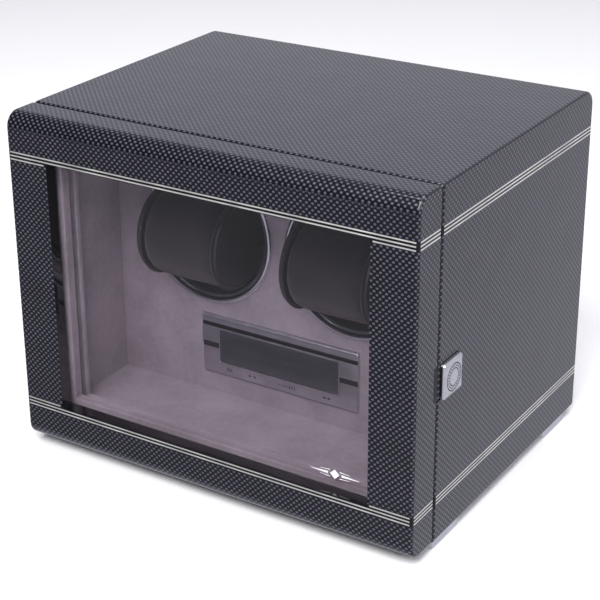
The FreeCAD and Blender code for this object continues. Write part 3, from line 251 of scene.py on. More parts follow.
# ABS moulded in an etched tool: dull black with a pebbled sheen
ABS = surface("etched_black_abs", "131316", "1d1d21", 0.5, 0.0, 0.6, 0.05)
# ABS moulded in a polished tool: piano black with a soft mirror
GLOSS_ABS = surface("polished_black_abs", "2b2b31", "38383f", 0.16, 0.0, 6.0, 0.01,
                    **{"Coat Weight": 0.6, "Coat Roughness": 0.05})
# moulded rubber: matt, dusty black
RUBBER = surface("moulded_rubber", "151516", "222224", 0.8, 0.0, 0.6, 0.04)
# natural acetal, moulded gears: waxy off-white
ACETAL = surface("moulded_acetal", "d3d2c9", "e6e5dd", 0.42, 0.0, 0.8, 0.01)
# glass-epoxy board under green solder mask: glossy green over faint tracks
BOARD = surface("green_solder_mask", "0d4524", "1a6436", 0.3, 0.0, 1.5, 0.03)
# extruded PVC wire cover: smooth satin black
WIRE = surface("extruded_pvc", "17171a", "222226", 0.45, 0.0, 0.5, 0.01)
# smoked acrylic over a display that is off: even, dark grey gloss
SMOKED = surface("smoked_acrylic", "2a2a2f", "323238", 0.12, 0.0, 9.0, 0.002, **{"Coat Weight": 0.5})
# screen print: flat white or dark ink with a slight tooth
PRINT = surface("white_screen_print", "e6e6ea", "f6f6f8", 0.5, 0.0, 0.3, 0.004)
INK = surface("dark_screen_print", "312f33", "434045", 0.6, 0.0, 0.3, 0.004)
# stainless sheet, brushed along its length: grey with fine level lines
BRUSHED = surface("brushed_stainless_sheet", "8c8a8d", "aeacaf", 0.42, 1.0, 0.35, 0.02, (0.02, 1.0, 1.0))
# stainless sheet, satin-buffed: bright, soft-edged reflections, a little wavy
BUFFED = surface("buffed_stainless_sheet", "c4c3c8", "e2e1e6", 0.32, 1.0, 4.0, 0.004, (0.2, 1.0, 1.0))
# dark metal: a painted dark reflection in the control plate's grooves and on the strike, and painted shade in
# the floors of the button's engraving
DARK_PAINTED_REFLECTION_AND_SHADE = surface("dark_metal_painted_reflection_and_shade", "29282c", "3b3a3f", 0.14, 1.0, 2.0, 0.003)
SUEDE = suede("taupe_microfibre_suede", "7a7278", "9a9198", 0.5)
CUFF_SUEDE = suede("charcoal_microfibre_suede", "151417", "29272c", 0.5)
GLASS = float_glass()


# ---------------------------------------------------------------- modelling


def nothing_selected():
    """Leaves edit mode and clears the selection."""
    if bpy.context.object and bpy.context.object.mode != "OBJECT":
        bpy.ops.object.mode_set(mode="OBJECT")
    bpy.ops.object.select_all(action="DESELECT")


def use(piece):
    """Makes the piece the only selected and the active object."""
    nothing_selected()
    piece.select_set(True)
    bpy.context.view_layer.objects.active = piece
    return piece


def named(name):
    """Settles the new primitive's place into its mesh and names it."""
    bpy.ops.object.transform_apply(location=True, rotation=True, scale=True)
    made = bpy.context.object
    made.name = made.data.name = name
    return made


def block(name, low, high):
    """A cuboid between two corners, in millimetres."""
    nothing_selected()
    low, high = Vector(low), Vector(high)
    bpy.ops.mesh.primitive_cube_add(size=1, location=(low + high) / 2 * MM, scale=(high - low) * MM)
    return named(name)


AXIS_TURNS = {X: (0, math.pi / 2, 0), Y: (math.pi / 2, 0, 0), Z: (0, 0, 0)}


def drum(name, axis, radius, span, centre, steps=96):
    """A closed cylinder along an axis over span, centred on the other two coordinates, in millimetres."""
    nothing_selected()
    at = list(centre)
    at.insert(axis, sum(span) / 2)
    bpy.ops.mesh.primitive_cylinder_add(vertices=steps, radius=radius * MM, depth=(span[1] - span[0]) * MM,
                                        location=Vector(at) * MM, rotation=AXIS_TURNS[axis])
    return named(name)


def pick(piece, kind, test):
    """Selects the faces or edges that pass the test, and leaves the piece in edit mode."""
    use(piece)
    mesh = piece.data
    for parts in (mesh.vertices, mesh.edges, mesh.polygons):
        parts.foreach_set("select", [False] * len(parts))
    if kind == "FACE":
        for face in mesh.polygons:
            face.select = test(face.center / MM, face.normal)
    else:
        for edge in mesh.edges:
            edge.select = test(*[mesh.vertices[v].co / MM for v in edge.vertices])
    bpy.ops.object.mode_set(mode="EDIT")
    bpy.ops.mesh.select_mode(type=kind)


def object_mode():
    bpy.ops.object.mode_set(mode="OBJECT")


def near(a, b):
    """True where two coordinates in millimetres agree."""
    return abs(a - b) < 0.02


def round_edges(piece, radius, steps, test):
    """Rounds the edges whose two ends pass the test, with a radius in millimetres."""
    pick(piece, "EDGE", test)
    bpy.ops.mesh.bevel(offset=radius * MM, segments=steps, profile=0.5, affect="EDGES", clamp_overlap=False)
    object_mode()
    return piece


def apply_modifier(piece, kind, **settings):
    """Adds one modifier with these settings and applies it at once."""
    use(piece)
    made = piece.modifiers.new(kind.lower(), kind)
    for name, value in settings.items():
        setattr(made, name, value)
    bpy.ops.object.modifier_apply(modifier=made.name)


def carve(piece, *cutters):
    """Takes the cutters' shapes out of the piece."""
    for cutter in cutters:
        apply_modifier(piece, "BOOLEAN", object=cutter, operation="DIFFERENCE", solver="EXACT")
        bpy.data.objects.remove(cutter)
    return piece


def score(piece, axis, *places):
    """Divides the faces that planes across an axis pass through, at these places in millimetres."""
    for place in places:
        pick(piece, "FACE", lambda centre, normal: True)
        bpy.ops.mesh.bisect(plane_co=[place * MM if a == axis else 0 for a in range(3)],
                            plane_no=[float(a == axis) for a in range(3)])
        object_mode()
    return piece


def soften(piece, width, steps=2, angle=35):
    """Rounds every edge sharper than an angle in degrees, by a width in millimetres."""
    apply_modifier(piece, "BEVEL", width=width * MM, segments=steps, limit_method="ANGLE",
                   angle_limit=math.radians(angle))
    return piece


def smooth(piece, angle=40):
    """Shades curves smooth and keeps flats flat."""
    use(piece)
    bpy.ops.object.shade_smooth_by_angle(angle=math.radians(angle))
    apply_modifier(piece, "WEIGHTED_NORMAL", keep_sharp=True, weight=60)
    return piece


def outline_mesh(name, points):
    """A closed line of edges through points, in millimetres, left in edit mode with all of it selected."""
    nothing_selected()
    bpy.ops.mesh.primitive_plane_add(size=MM, location=(0, 0, 0))
    made = named(name)
    bpy.ops.object.mode_set(mode="EDIT")
    bpy.ops.mesh.select_mode(type="VERT")
    bpy.ops.mesh.select_all(action="SELECT")
    bpy.ops.mesh.merge(type="CENTER")
    here = Vector()
    for number, point in enumerate([*points, points[0]]):
        step = Vector(point) * MM - here
        here += step
        if number:
            bpy.ops.mesh.extrude_region_move(TRANSFORM_OT_translate={"value": step})
        else:
            bpy.ops.transform.translate(value=step)
    bpy.ops.mesh.select_all(action="SELECT")
    bpy.ops.mesh.remove_doubles(threshold=0.002 * MM)
    return made


def turned(name, axis, at, outline, steps=128, rounding=0.0):
    """Spins an outline of (radius, along) about a line along an axis through at, in millimetres."""
    points = []
    for radius, along in outline:
        point = [at[0] + radius, at[1]] if axis != X else [at[0], at[1] + radius]
        point.insert(axis, along)
        points.append(point)
    made = outline_mesh(name, points)
    centre = list(at)
    centre.insert(axis, 0)
    line = [0, 0, 0]
    line[axis] = 1
    bpy.ops.mesh.spin(steps=steps, angle=math.tau, center=Vector(centre) * MM, axis=line)
    bpy.ops.mesh.select_all(action="SELECT")
    bpy.ops.mesh.remove_doubles(threshold=0.002 * MM)
    bpy.ops.mesh.normals_make_consistent(inside=False)
    object_mode()
    if rounding:
        soften(made, rounding, 3, 25)
    return smooth(made, 35)


def extruded(name, axis, outline, span):
    """Carries an outline of two coordinates along an axis over span, in millimetres."""
    points = []
    for place in outline:
        point = list(place)
        point.insert(axis, span[0])
        points.append(point)
    made = outline_mesh(name, points)
    bpy.ops.mesh.edge_face_add()
    step = [0, 0, 0]
    step[axis] = (span[1] - span[0]) * MM
    bpy.ops.mesh.extrude_region_move(TRANSFORM_OT_translate={"value": step})
    bpy.ops.mesh.select_all(action="SELECT")
    bpy.ops.mesh.normals_make_consistent(inside=False)
    object_mode()
    return made


def joined(name, parts):
    """Joins parts into one piece with this name."""
    use(parts[0])
    for part in parts[1:]:
        part.select_set(True)
    if len(parts) > 1:
        bpy.ops.object.join()
    made = bpy.context.object
    made.name = made.data.name = name
    return made


def fit(piece, body, slot, finish, *stands_for):
    """Gives a piece its finish, its body and the CAD nodes that it stands for. The slot is not used."""
    if finish:
        piece.data.materials.clear()
        piece.data.materials.append(finish)
    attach(piece, body)
    if stands_for:
        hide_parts(*stands_for)
    return piece


def paint(piece, finishes, choose):
    """Gives each face one of the finishes: choose returns its number from the face's centre and normal."""
    piece.data.materials.clear()
    for finish in finishes:
        piece.data.materials.append(finish)
    for face in piece.data.polygons:
        face.material_index = choose(face.center / MM, face.normal)


# ---------------------------------------------------------------- lacquered door and cabinet


def unrolled(y, z, low, high, front_round, back_round):
    """Distance along the weave, up the front, over the top and down the back."""
    quarter, top = math.pi / 2, high[Z]
    if y < low[Y] + front_round and z > top - front_round:
        return top - front_round + front_round * math.atan2(z - top + front_round, low[Y] + front_round - y)
    over = top - front_round + front_round * quarter
    if y > high[Y] - back_round and z > top - back_round:
        lean = quarter - math.atan2(z - top + back_round, y - high[Y] + back_round)
        return over + high[Y] - back_round - low[Y] - front_round + back_round * lean
    return over + y - low[Y] - front_round


def lay_weave(piece, low, high, front_round, back_round):
    """Maps the weave in metres: flat on the sides, front and back, and unrolled over the rounded edges."""
    mesh = piece.data
    layer = mesh.uv_layers.new(name="wrap")
    for face in mesh.polygons:
        n = face.normal
        for corner in face.loop_indices:
            x, y, z = mesh.vertices[mesh.loops[corner].vertex_index].co / MM
            if abs(n.x) > 0.7:
                uv = (y, z)
            elif n.z > 0.02:
                uv = (x, unrolled(y, z, low, high, front_round, back_round))
            elif n.z < -0.7:
                uv = (x, y)
            else:
                uv = (x, z)
            layer.data[corner].uv = (uv[0] * MM, uv[1] * MM)


def lacquered_block(name, low, high, rounds):
    """A block just inside the given corners, with its long edges along X rounded and then its ends."""
    low, high = [c + SKIN for c in low], [c - SKIN for c in high]
    made = block(name, low, high)
    for back, up, radius, steps in rounds:
        y, z = (high if back else low)[Y], (high if up else low)[Z]
        round_edges(made, radius, steps, lambda a, b: all(near(p.y, y) and near(p.z, z) for p in (a, b)))
    return round_edges(made, EDGE_ROUND, 5, lambda a, b: near(a.x, b.x) and HALF - abs(a.x) < 2 * SKIN)


def make_door():
    """The door frame's seamless lacquered skin, with its window and the rebate for the pane."""
    door = lacquered_block("door_shell", DOOR_LOW, DOOR_HIGH, [
        (0, 1, FRONT_ROUND, 14), (0, 0, FRONT_ROUND, 14), (1, 1, LONG_ROUND, 5), (1, 0, LONG_ROUND, 5)])
    score(door, X, -WINDOW_HALF, WINDOW_HALF, -REBATE_HALF, REBATE_HALF)
    score(door, Z, WINDOW_LOW, WINDOW_HIGH, REBATE_LOW, REBATE_HIGH)
    through = FRONT + 40
    window = block("window_cutter", (-WINDOW_HALF, FRONT - PAST, WINDOW_LOW),
                   (WINDOW_HALF, through, WINDOW_HIGH))
    rebate = block("rebate_cutter", (-REBATE_HALF, FRONT + REVEAL, REBATE_LOW),
                   (REBATE_HALF, through, REBATE_HIGH))
    carve(door, window, rebate)
    smooth(soften(door, 0.4, 2, 60), 35)
    lay_weave(door, DOOR_LOW, DOOR_HIGH, FRONT_ROUND, EDGE_ROUND)

    slack = 0.3

    def finish_of(centre, normal):
        framed = (abs(centre.x) < WINDOW_HALF + slack
                  and WINDOW_LOW - slack < centre.z < WINDOW_HIGH + slack)
        rebated = (abs(centre.x) < REBATE_HALF + slack
                   and REBATE_LOW - slack < centre.z < REBATE_HIGH + slack)
        return 1 if framed and centre.y > FRONT + 0.2 or rebated and centre.y > FRONT + REVEAL - 1 else 0
    paint(door, [WEAVE_WITH_PAINTED_GLINTS, BLACK_LACQUER], finish_of)
    fit(door, "door", "woven_lacquer", None, "door_frame")


def make_cabinet():
    """The cabinet's seamless lacquered skin, open at the front, the rear hatch and the latch's recess."""
    low = [-HALF, CASE_LOW[Y], CASE_LOW[Z]]
    high = [HALF, BACK, TOP_HIGH[Z]]
    case = lacquered_block("cabinet_shell", low, high, [
        (1, 1, REAR_ROUND, 14), (1, 0, HEEL_ROUND, 6), (0, 1, LONG_ROUND, 5), (0, 0, LONG_ROUND, 5)])
    wall = TRIM_HIGH[X]
    rear = box_mm("rear_panel")[0][Y]
    button_low, button_high = box_mm("latch_button")
    gap = 0.4
    recess = block("recess_cutter", (HALF - RECESS, button_low[Y] - gap, button_low[Z] - gap),
                   (HALF + PAST, button_high[Y] + gap, button_high[Z] + gap))
    cavity = block("cavity_cutter", (-wall, low[Y] - PAST, TRIM_LOW[Z]), (wall, rear, TRIM_HIGH[Z]))
    seat = block("seat_cutter", (-HATCH_HALF, BACK - HATCH_THICK - 0.2, HATCH_LOW),
                 (HATCH_HALF, BACK + PAST, HATCH_HIGH))
    hole = block("hatch_cutter", (LEDGE - HATCH_HALF, rear - PAST, HATCH_LOW + LEDGE),
                 (HATCH_HALF - LEDGE, BACK + PAST, HATCH_HIGH - LEDGE))
    score(case, X, -wall, wall, -HATCH_HALF, HATCH_HALF, LEDGE - HATCH_HALF, HATCH_HALF - LEDGE)
    score(case, Y, button_low[Y] - gap, button_high[Y] + gap)
    score(case, Z, TRIM_LOW[Z], TRIM_HIGH[Z], HATCH_LOW, HATCH_HIGH, HATCH_LOW + LEDGE, HATCH_HIGH - LEDGE,
          button_low[Z] - gap, button_high[Z] + gap)
    carve(case, recess, cavity, seat, hole)
    smooth(soften(case, 0.3, 2, 60), 35)
    lay_weave(case, low, high, EDGE_ROUND, REAR_ROUND)
    reach = BUTTON_HALF + 0.5

    def finish_of(centre, normal):
        hidden = abs(centre.x) < wall + 0.1 and TRIM_LOW[Z] - 0.1 < centre.z < TRIM_HIGH[Z] + 0.1
        # painted shade: the floor, top and bottom of the latch's recess take the black lacquer, darkening the
        # gap round the button
        painted_shade_pocket = (HALF - RECESS - 1 < centre.x < HALF - 0.5 and abs(centre.z - LATCH_Z) < reach
                  and LATCH_Y - reach + 0.2 < centre.y < LATCH_Y + reach
                  and abs(normal.z) + abs(normal.x) > 0.2)
        return 1 if (hidden and centre.y < BACK - 1) or painted_shade_pocket else 0
    paint(case, [WEAVE_WITH_PAINTED_GLINTS, BLACK_LACQUER], finish_of)
    fit(case, "cabinet", "woven_lacquer", None,
        "left_side_panel", "right_side_panel", "top_panel", "bottom_panel", "rear_panel")


# ---------------------------------------------------------------- suede-covered pieces


def make_suede_pieces():
    """The frames, boards and fascia that are covered in suede, with soft wrapped edges."""
    frames = {
        "opening_trim": ("cabinet", (TRIM_HALF, TRIM_BOTTOM, TRIM_TOP)),
        "glass_retainer": ("door", (RETAINER_HALF, RETAINER_LOW, RETAINER_HIGH)),
    }
    for node, (body, (half, bottom, top)) in frames.items():
        low, high = box_mm(node)
        piece = block(f"suede_{node}", low, high)
        score(piece, X, -half, half)
        score(piece, Z, bottom, top)
        carve(piece, block("opening_cutter", (-half, low[Y] - PAST, bottom), (half, high[Y] + PAST, top)))
        fit(smooth(soften(piece, 1.0, 4, 60)), body, "suede", SUEDE, node)
    for part in ("left", "right", "floor", "ceiling"):
        piece = block(f"suede_{part}_board", *box_mm(f"{part}_lining"))
        fit(smooth(soften(piece, 0.5, 3, 60)), "cabinet", "suede", SUEDE, f"{part}_lining")
    low, high = box_mm("fascia")
    board = block("suede_fascia", low, high)
    through = (low[Y] - PAST, high[Y] + PAST)
    holes = [drum("hole_cutter", Y, HOLE_RADIUS, through, (sign * ROTOR_X, ROTOR_Z), 160)
             for sign in SIDES.values()]
    corners = box_mm("display_module")
    left, right = corners[0][X] - CLEARANCE, corners[1][X] + CLEARANCE
    bottom, top = corners[0][Z] - CLEARANCE, corners[1][Z] + CLEARANCE
    module = block("module_cutter", (left, through[0], bottom), (right, through[1], top))
    score(board, X, -ROTOR_X, 0.0, ROTOR_X, left, right)
    score(board, Z, ROTOR_Z, bottom, top)
    carve(board, *holes, module)
    fit(smooth(soften(board, 0.4, 2, 60)), "cabinet", "suede", SUEDE, "fascia")


# ---------------------------------------------------------------- rotors and watch cushions


def make_rotor(side, sign):
    """One rotor's chrome ring, gloss cup and the spool that its cushion sits on."""
    at = (sign * ROTOR_X, ROTOR_Z)
    low, high = box_mm(f"{side}_ring")
    face, board = low[Y], low[Y] + 3.0
    ring = turned(f"{side}_chrome_ring", Y, at, [
        (49.4, face + 0.9), (49.7, face + 0.25), (50.4, face), (51.2, face + 0.12), (52.1, face + 0.8),
        (52.65, face + 1.8), (52.8, board), (49.6, board), (49.6, high[Y]), (49.4, high[Y])], 160)
    fit(ring, "cabinet", "polished_chrome", CHROME, f"{side}_ring")
    low, high = box_mm(f"{side}_cup")
    lip, back = low[Y], high[Y]
    cup = turned(f"{side}_gloss_cup", Y, at, [
        (46.4, lip), (48.4, lip), (48.6, lip + 0.3), (48.6, lip + 1.8), (47.6, lip + 2.8), (47.6, back),
        (2.0, back), (2.0, back - 2.0), (41.6, back - 2.0), (43.6, back - 2.5), (45.0, back - 3.8),
        (45.6, back - 6.0), (45.6, lip + 2.0), (45.9, lip + 0.5)], 128)
    fit(cup, f"{side}_rotor", "gloss_black", GLOSS_ABS, f"{side}_cup")
    parts = []
    for end in (-1, 1):
        centre = sign * ROTOR_X
        inner, outer = centre + end * CUFF_HALF, centre + end * (CUFF_HALF + DISC_THICK)
        parts.append(turned(f"{side}_end_disc", X, (CUFF_Y, ROTOR_Z), [
            (0.0, inner), (DISC_RADIUS - 0.4, inner), (DISC_RADIUS, inner + end * 0.4),
            (DISC_RADIUS, outer - end * 0.9), (DISC_RADIUS - 0.3, outer - end * 0.3),
            (DISC_RADIUS - 0.9, outer), (DISC_RADIUS - 2.6, outer), (DISC_RADIUS - 2.9, outer - end * 0.45),
            (DISC_RADIUS - 3.5, outer - end * 0.5), (DISC_RADIUS - 3.9, outer - end * 0.15),
            (DISC_RADIUS - 12.0, outer - end * 0.5), (7.0, outer - end * 0.7), (6.4, outer - end * 0.25),
            (0.0, outer - end * 0.2)], 128))
    reach = CUFF_HALF + 0.1
    parts.append(drum(f"{side}_core", X, CORE_RADIUS, (sign * ROTOR_X - reach, sign * ROTOR_X + reach),
                      (CUFF_Y, ROTOR_Z), 64))
    spool = smooth(joined(f"{side}_moulded_spool", parts), 35)
    fit(spool, f"{side}_watch_cushion", "moulded_black", ABS, f"{side}_spool")


def make_cushion():
    """One suede cushion about the X axis at the origin, swollen by cloth simulation and then puckered."""
    r, h = CUFF_RADIUS - 2.0, CUFF_HALF - 1.4
    bore_radius = CORE_RADIUS + 0.4
    pad = turned("cushion_form", X, (0, 0), [
        (bore_radius, -h), (r - 5.5, -h), (r - 2.4, -h + 0.9), (r - 0.8, -h + 2.8), (r, -h + 6.5),
        (r + 0.2, 0), (r, h - 6.5), (r - 0.8, h - 2.8), (r - 2.4, h - 0.9), (r - 5.5, h),
        (bore_radius, h)], 96)
    apply_modifier(pad, "REMESH", mode="VOXEL", voxel_size=2.4 * MM)
    start = [v.co.copy() for v in pad.data.vertices]
    held = (CORE_RADIUS + 2.5) * MM
    bore = pad.vertex_groups.new(name="bore")
    bore.add([v.index for v in pad.data.vertices if Vector(v.co.yz).length < held], 1.0, "REPLACE")
    use(pad)
    cloth = pad.modifiers.new("cloth", "CLOTH")
    cloth.settings.quality = 6
    cloth.settings.use_pressure = True
    cloth.settings.uniform_pressure_force = 4.0
    cloth.settings.vertex_group_mass = "bore"
    cloth.settings.effector_weights.gravity = 0.0
    cloth.settings.tension_stiffness = cloth.settings.compression_stiffness = 12.0
    cloth.point_cache.frame_start, cloth.point_cache.frame_end = 1, CLOTH_FRAMES
    for moment in range(1, CLOTH_FRAMES + 1):
        bpy.context.scene.frame_set(moment)
    bpy.ops.object.modifier_apply(modifier=cloth.name)
    bpy.context.scene.frame_set(1)
    for vertex, before in zip(pad.data.vertices, start):
        moved = vertex.co - before
        if moved.length > SWELL * MM:
            vertex.co = before + moved.normalized() * SWELL * MM
        around = math.atan2(vertex.co.z, vertex.co.y)
        edge = min(1.0, max(0.0, (abs(vertex.co.x) / MM - CUFF_HALF + 13.0) / 12.0))
        pucker = edge * edge * 0.28 * (math.sin(around * 23) + 0.6 * math.sin(around * 37 + 1.3))
        radius = Vector(vertex.co.yz).length / MM
        if radius > CORE_RADIUS + 6.0:
            vertex.co.yz = Vector(vertex.co.yz) * min(1 + pucker / radius, (CUFF_RADIUS - 0.05) / radius)
        vertex.co.x = max(-CUFF_HALF * MM, min(CUFF_HALF * MM, vertex.co.x))
    apply_modifier(pad, "SUBSURF", levels=1, render_levels=1)
    return pad


def place_cushions(pad):
    """Gives each spool its own copy of the cushion, and pipes both of its ends."""
    for side, sign in SIDES.items():
        at = Vector((sign * ROTOR_X, CUFF_Y, ROTOR_Z))
        copy = pad.copy()
        copy.data = pad.data.copy()
        bpy.context.collection.objects.link(copy)
        copy.name = copy.data.name = f"{side}_suede_cushion"
        copy.data.transform(Matrix.Translation(at * MM))
        use(copy)
        bpy.ops.object.shade_smooth()
        fit(copy, f"{side}_watch_cushion", "cushion_suede", CUFF_SUEDE, f"{side}_cushion")
        pipes = []
        for end in (-1, 1):
            nothing_selected()
            place = at + Vector((end * (CUFF_HALF - 1.0), 0, 0))
            bpy.ops.mesh.primitive_torus_add(major_radius=(CUFF_RADIUS - 1.6) * MM, minor_radius=0.9 * MM,
                                             major_segments=120, minor_segments=12, location=place * MM,
                                             rotation=(0, math.pi / 2, 0))
            pipes.append(named(f"{side}_pipe"))
        piping = joined(f"{side}_cushion_piping", pipes)
        use(piping)
        bpy.ops.object.shade_smooth()
        fit(piping, f"{side}_watch_cushion", "cushion_suede", CUFF_SUEDE)
    bpy.data.objects.remove(pad)


# ---------------------------------------------------------------- controls, latch, glass


def make_controls():
    """The stepped plate with its grooves and display bezel, and the printed touch marks."""
    low, high = box_mm("control_plate")
    face, back, top = low[Y], high[Y], high[Z]
    flat = face + 1.1
    # the profile from the bottom up: brushed flat, lower groove, light band, upper groove, bright bead
    outline = [(back, low[Z]), (flat, low[Z]), (flat, 64.4), (flat - 0.1, 65.2), (face + 0.55, 67.6),
               (face + 0.1, 69.0), (face, 70.0), (face + 0.1, 80.4), (face + 0.35, 81.2), (face + 1.0, 82.4),
               (face + 1.0, 83.2), (face + 0.45, 84.2), (face + 0.1, 85.0), (face, 86.0), (face + 0.15, 87.6),
               (face + 0.6, 88.8), (face + 1.3, 89.5), (face + 2.2, top), (back, top)]
    plate = extruded("stepped_control_plate", X, outline, (low[X], high[X]))
    lens_low, lens_high = box_mm("display_window")
    carve(plate, block("display_cutter", (lens_low[X] - CLEARANCE, face - PAST, lens_low[Z] - CLEARANCE),
                       (lens_high[X] + CLEARANCE, back + PAST, lens_high[Z] + CLEARANCE)))
    soften(plate, 0.25, 2, 50)
    bezel = block("display_bezel", (lens_low[X] - 0.7, face, lens_low[Z] - 0.7),
                  (lens_high[X] + 0.7, face + 1.9, lens_high[Z] + 0.7))
    carve(bezel, block("bezel_cutter", (lens_low[X] + 0.2, face - PAST, lens_low[Z] + 0.2),
                       (lens_high[X] - 0.2, face + PAST, lens_high[Z] - 0.2)))
    soften(bezel, 0.2, 2, 50)
    whole = smooth(joined("stepped_control_plate", [plate, bezel]), 30)

    lower_groove, upper_groove = (64.6, 68.9), (81.0, 84.4)

    def finish_of(centre, normal):
        if abs(centre.x) < lens_high[X] + 0.8 and lens_low[Z] - 0.8 < centre.z < lens_high[Z] + 0.8:
            return 1
        # painted reflection: the two grooves take the dark finish for the dark bands that the polished plate
        # mirrors there
        if any(bottom < centre.z < top for bottom, top in (lower_groove, upper_groove)):
            return 2
        return 0 if centre.z < lower_groove[0] else 1
    paint(whole, [BRUSHED, BUFFED, DARK_PAINTED_REFLECTION_AND_SHADE], finish_of)
    fit(whole, "cabinet", "brushed_plate", None, "control_plate")
    marks = []
    sunk, proud = flat + 0.1, flat - 0.06
    z = MARKS_Z

    def bar(x, wide, tall, rise=0.0):
        marks.append(block("mark", (x - wide / 2, proud, z + rise - tall / 2),
                           (x + wide / 2, sunk, z + rise + tall / 2)))

    def wedge(x, tip):
        corners = [(x - tip, z - 1.2), (x + tip, z), (x - tip, z + 1.2)]
        marks.append(extruded("mark", Y, corners, (proud, sunk)))
    # four signs, from the left: three bars, a wedge with two bars, a rising row and two wedges
    for rise in (-1.0, 0.0, 1.0):
        bar(-41.7, 5.0, 0.45, rise)
    wedge(-24.0, 1.1)
    bar(-20.9, 0.6, 2.2)
    bar(-19.7, 0.6, 2.2)
    for place in range(7):
        bar(place * 2.0 + 0.6, 0.6, 1.0 + place * 0.25)
    wedge(36.6, -1.1)
    wedge(41.0, 1.1)
    bar(38.8, 2.0, 0.45)
    fit(joined("touch_marks", marks), "cabinet", "brushed_plate", INK)


def make_latch():
    """The square push button with its engraved rings, boss and stem."""
    low, high = box_mm("latch_button")
    y0, y1 = LATCH_Y - BUTTON_HALF, LATCH_Y + BUTTON_HALF
    z0, z1 = LATCH_Z - BUTTON_HALF, LATCH_Z + BUTTON_HALF
    face = high[X]
    button = block("engraved_latch_button", (face - BUTTON_THICK, y0, z0), (face, y1, z1))
    round_edges(button, 2.0, 8, lambda a, b: near(a.y, b.y) and near(a.z, b.z))
    round_edges(button, 0.8, 4, lambda a, b: near(a.x, face) and near(b.x, face))
    floor = face - ENGRAVED
    cut = (floor, face + 1.0)
    grooves = [turned("groove_cutter", X, (LATCH_Y, LATCH_Z), [
        (radius, cut[0]), (radius + wide, cut[0]), (radius + wide, cut[1]), (radius, cut[1])], 96)
        for radius, wide in ENGRAVED_RINGS]
    for number in range(BEADS):
        turn = math.tau * number / BEADS
        at = (LATCH_Y + BEAD_CIRCLE * math.cos(turn), LATCH_Z + BEAD_CIRCLE * math.sin(turn))
        grooves.append(drum("bead_cutter", X, BEAD_RADIUS, cut, at, 12))
    carve(button, *grooves)
    boss = turned("button_boss", X, (LATCH_Y, LATCH_Z), [
        (0.0, face - 0.3), (2.6, face - 0.3), (2.6, face - 0.05), (2.2, face), (1.2, face - 0.12),
        (0.0, face - 0.15)], 64)
    stem = turned("button_stem", X, (LATCH_Y, LATCH_Z), [
        (0.0, low[X]), (2.7, low[X]), (3.0, low[X] + 0.3), (3.0, face - 1.5), (0.0, face - 1.5)], 48)
    whole = smooth(joined("engraved_latch_button", [button, boss, stem]), 30)

    def finish_of(centre, normal):
        away = math.hypot(centre.y - LATCH_Y, centre.z - LATCH_Z)
        # painted shade: the floors of the engraved rings take the dark finish
        return 1 if 5.2 < away < 9.5 and face - ENGRAVED - 0.05 < centre.x < face - 0.03 else 0
    paint(whole, [CHROME, DARK_PAINTED_REFLECTION_AND_SHADE], finish_of)
    fit(whole, "latch", "polished_chrome", None, "latch_button")


def make_glass_mark():
    """A plain ornament printed on the pane: a lozenge between tapered strokes."""
    near_y, far_y = GLASS_LOW[Y] - 0.05, GLASS_LOW[Y] + 0.02
    x, z = ORNAMENT
    shapes = [[(x - 3.4, z), (x, z + 3.4), (x + 3.4, z), (x, z - 3.4)]]
    for way in (-1, 1):
        inner, outer = x + way * 5.0, x + way * 18.0
        shapes.append([(inner, z + 0.8), (outer, z + 0.12), (outer, z - 0.12), (inner, z - 0.8)])
        for up in (-1, 1):
            inner, outer = x + way * 3.6, x + way * 11.0
            shapes.append([(inner, z + up * 2.7), (outer, z + up * 2.0), (outer, z + up * 1.8),
                           (inner, z + up * 2.2)])
    parts = [extruded("stroke", Y, shape, (near_y, far_y)) for shape in shapes]
    fit(joined("glass_ornament", parts), "door", "inlay_line", PRINT)


# ---------------------------------------------------------------- carried-over solids

FINISHES = {
    "door_inlays cabinet_inlays": LINE_METAL,
    "door_glass": GLASS,
    "glass_seal foot_pads door_bumpers": RUBBER,
    "feet hinge_cabinet_leaves hinge_door_leaves hinge_pins": CHROME,
    "cabinet_hinge_screws door_hinge_screws rear_cover_screws drive_plate_screws latch_catch latch_spring"
    " left_rotor_shaft right_rotor_shaft left_motor right_motor drive_plate": STEEL,
    "left_cushion_clip right_cushion_clip": SPRING_STEEL,
    "rear_cover power_inlet latch_housing display_module": ABS,
    "display_window": SMOKED,
    # painted reflection: the polished strike takes the dark finish for the black that it mirrors
    "strike_plate": DARK_PAINTED_REFLECTION_AND_SHADE,
    "plate_posts": ALUMINIUM,
    "left_drive_gear right_drive_gear": ACETAL,
    "left_motor_pinion right_motor_pinion rotor_bushes": BRASS,
    "control_board": BOARD,
    "wiring_leads": WIRE,
}


def dress_solids():
    """Gives each CAD node that keeps its own shape its finish."""
    for nodes, finish in FINISHES.items():
        for node in nodes.split():
            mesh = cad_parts[node].data
            mesh.materials.clear()
            mesh.materials.append(finish)


# ---------------------------------------------------------------- studio


def soft_box(name, place, size, power, mirrored):
    """A rectangular light that faces the box, and shows in its gloss if mirrored."""
    data = bpy.data.lights.new(name, "AREA")
    data.shape = "RECTANGLE"
    data.size, data.size_y = size
    data.energy = power
    lamp = bpy.data.objects.new(name, data)
    bpy.context.collection.objects.link(lamp)
    lamp.location = place
    lamp.visible_glossy = mirrored
    lamp.rotation_euler = (Vector((0, 0, 0.1)) - Vector(place)).to_track_quat("-Z", "Y").to_euler()


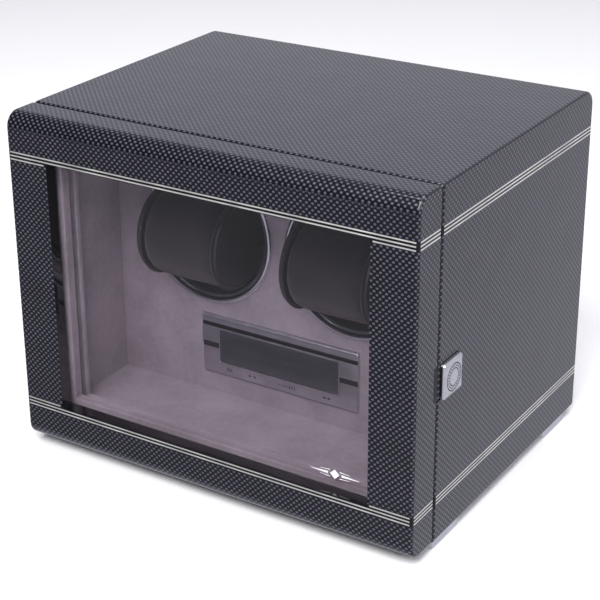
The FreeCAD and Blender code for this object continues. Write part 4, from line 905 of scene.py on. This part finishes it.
def make_studio():
    """White paper floor, a pale room that only gloss and shade see, and three soft lamps."""
    nothing_selected()
    bpy.ops.mesh.primitive_plane_add(size=12, location=(0, 0, -0.0001))
    floor = named("studio_floor")
    # seamless background paper: matt white with a faint tooth
    paper, tree = blank("white_background_paper")
    grain = grains(tree, add(tree, "ShaderNodeTexCoord", out="Object"), 2.5)
    tone = add(tree, "ShaderNodeValToRGB", {0: grain}, stops=[(0.3, "f3f3f4"), (0.7, "f8f8f9")])
    close(tree, {"Base Color": tone, "Roughness": 0.9, "Specular IOR Level": 0.1})
    floor.data.materials.append(paper)
    floor.visible_glossy = False
    world = bpy.data.worlds.new("studio")
    bpy.context.scene.world = world
    world.use_nodes = True
    tree = world.node_tree
    tree.nodes.clear()
    way = add(tree, "ShaderNodeTexCoord", out="Generated")
    # the room darkens towards the upper front left, so that the door's rounded top mirrors a dark band
    toward = add(tree, "ShaderNodeVectorMath", {0: way, 1: (0.45, 0.3, -0.3)}, "Value",
                 operation="DOT_PRODUCT")
    depth = add(tree, "ShaderNodeMath", {0: toward, 1: 0.6}, operation="ADD")
    room = add(tree, "ShaderNodeValToRGB", {0: depth}, stops=[
        (0.1, "141418"), (0.2, "8e8e96"), (0.28, "8e8e96"), (0.42, "babac4"), (1.0, "c6c6d0")])
    seen = add(tree, "ShaderNodeLightPath", out="Is Camera Ray")
    shown = add(tree, "ShaderNodeMix", {"Factor": seen, 6: room, 7: "fbfbfc"}, 2, data_type="RGBA")
    sky = add(tree, "ShaderNodeBackground", {"Color": shown, "Strength": 1.0})
    add(tree, "ShaderNodeOutputWorld", {"Surface": sky})
    soft_box("front_softbox", (0.2, -1.35, 1.6), (1.4, 1.1), 52, True)
    soft_box("right_softbox", (1.9, -0.5, 1.3), (1.2, 1.2), 14, True)
    soft_box("top_softbox", (0.1, 0.2, 2.2), (1.6, 1.6), 22, True)


def make_camera():
    """Seen from the right and above. Angles in degrees, lengths in widths of the box."""
    turn, rise, roll = map(math.radians, (33.227, 23.059, -0.688))
    width = 2 * HALF * MM
    target = Vector((-0.076, 0, 0.408)) * width
    away = Vector((math.sin(turn) * math.cos(rise), -math.cos(turn) * math.cos(rise), math.sin(rise)))
    data = bpy.data.cameras.new("camera")
    camera = bpy.data.objects.new("camera", data)
    bpy.context.collection.objects.link(camera)
    data.sensor_width = 36.0
    data.lens = data.sensor_width * 2.722
    data.shift_x, data.shift_y = 0.0387, -0.0667
    camera.location = target + away * 3.718 * width
    camera.rotation_mode = "QUATERNION"
    aim = (-away).to_track_quat("-Z", "Y")
    camera.rotation_quaternion = aim @ Matrix.Rotation(roll, 4, "Z").to_quaternion()
    bpy.context.scene.camera = camera


make_camera()
make_studio()
make_door()
make_cabinet()
make_suede_pieces()
for side, sign in SIDES.items():
    make_rotor(side, sign)
place_cushions(make_cushion())
make_controls()
make_latch()
make_glass_mark()
dress_solids()

bpy.context.scene.view_settings.view_transform = "Standard"
nothing_selected()
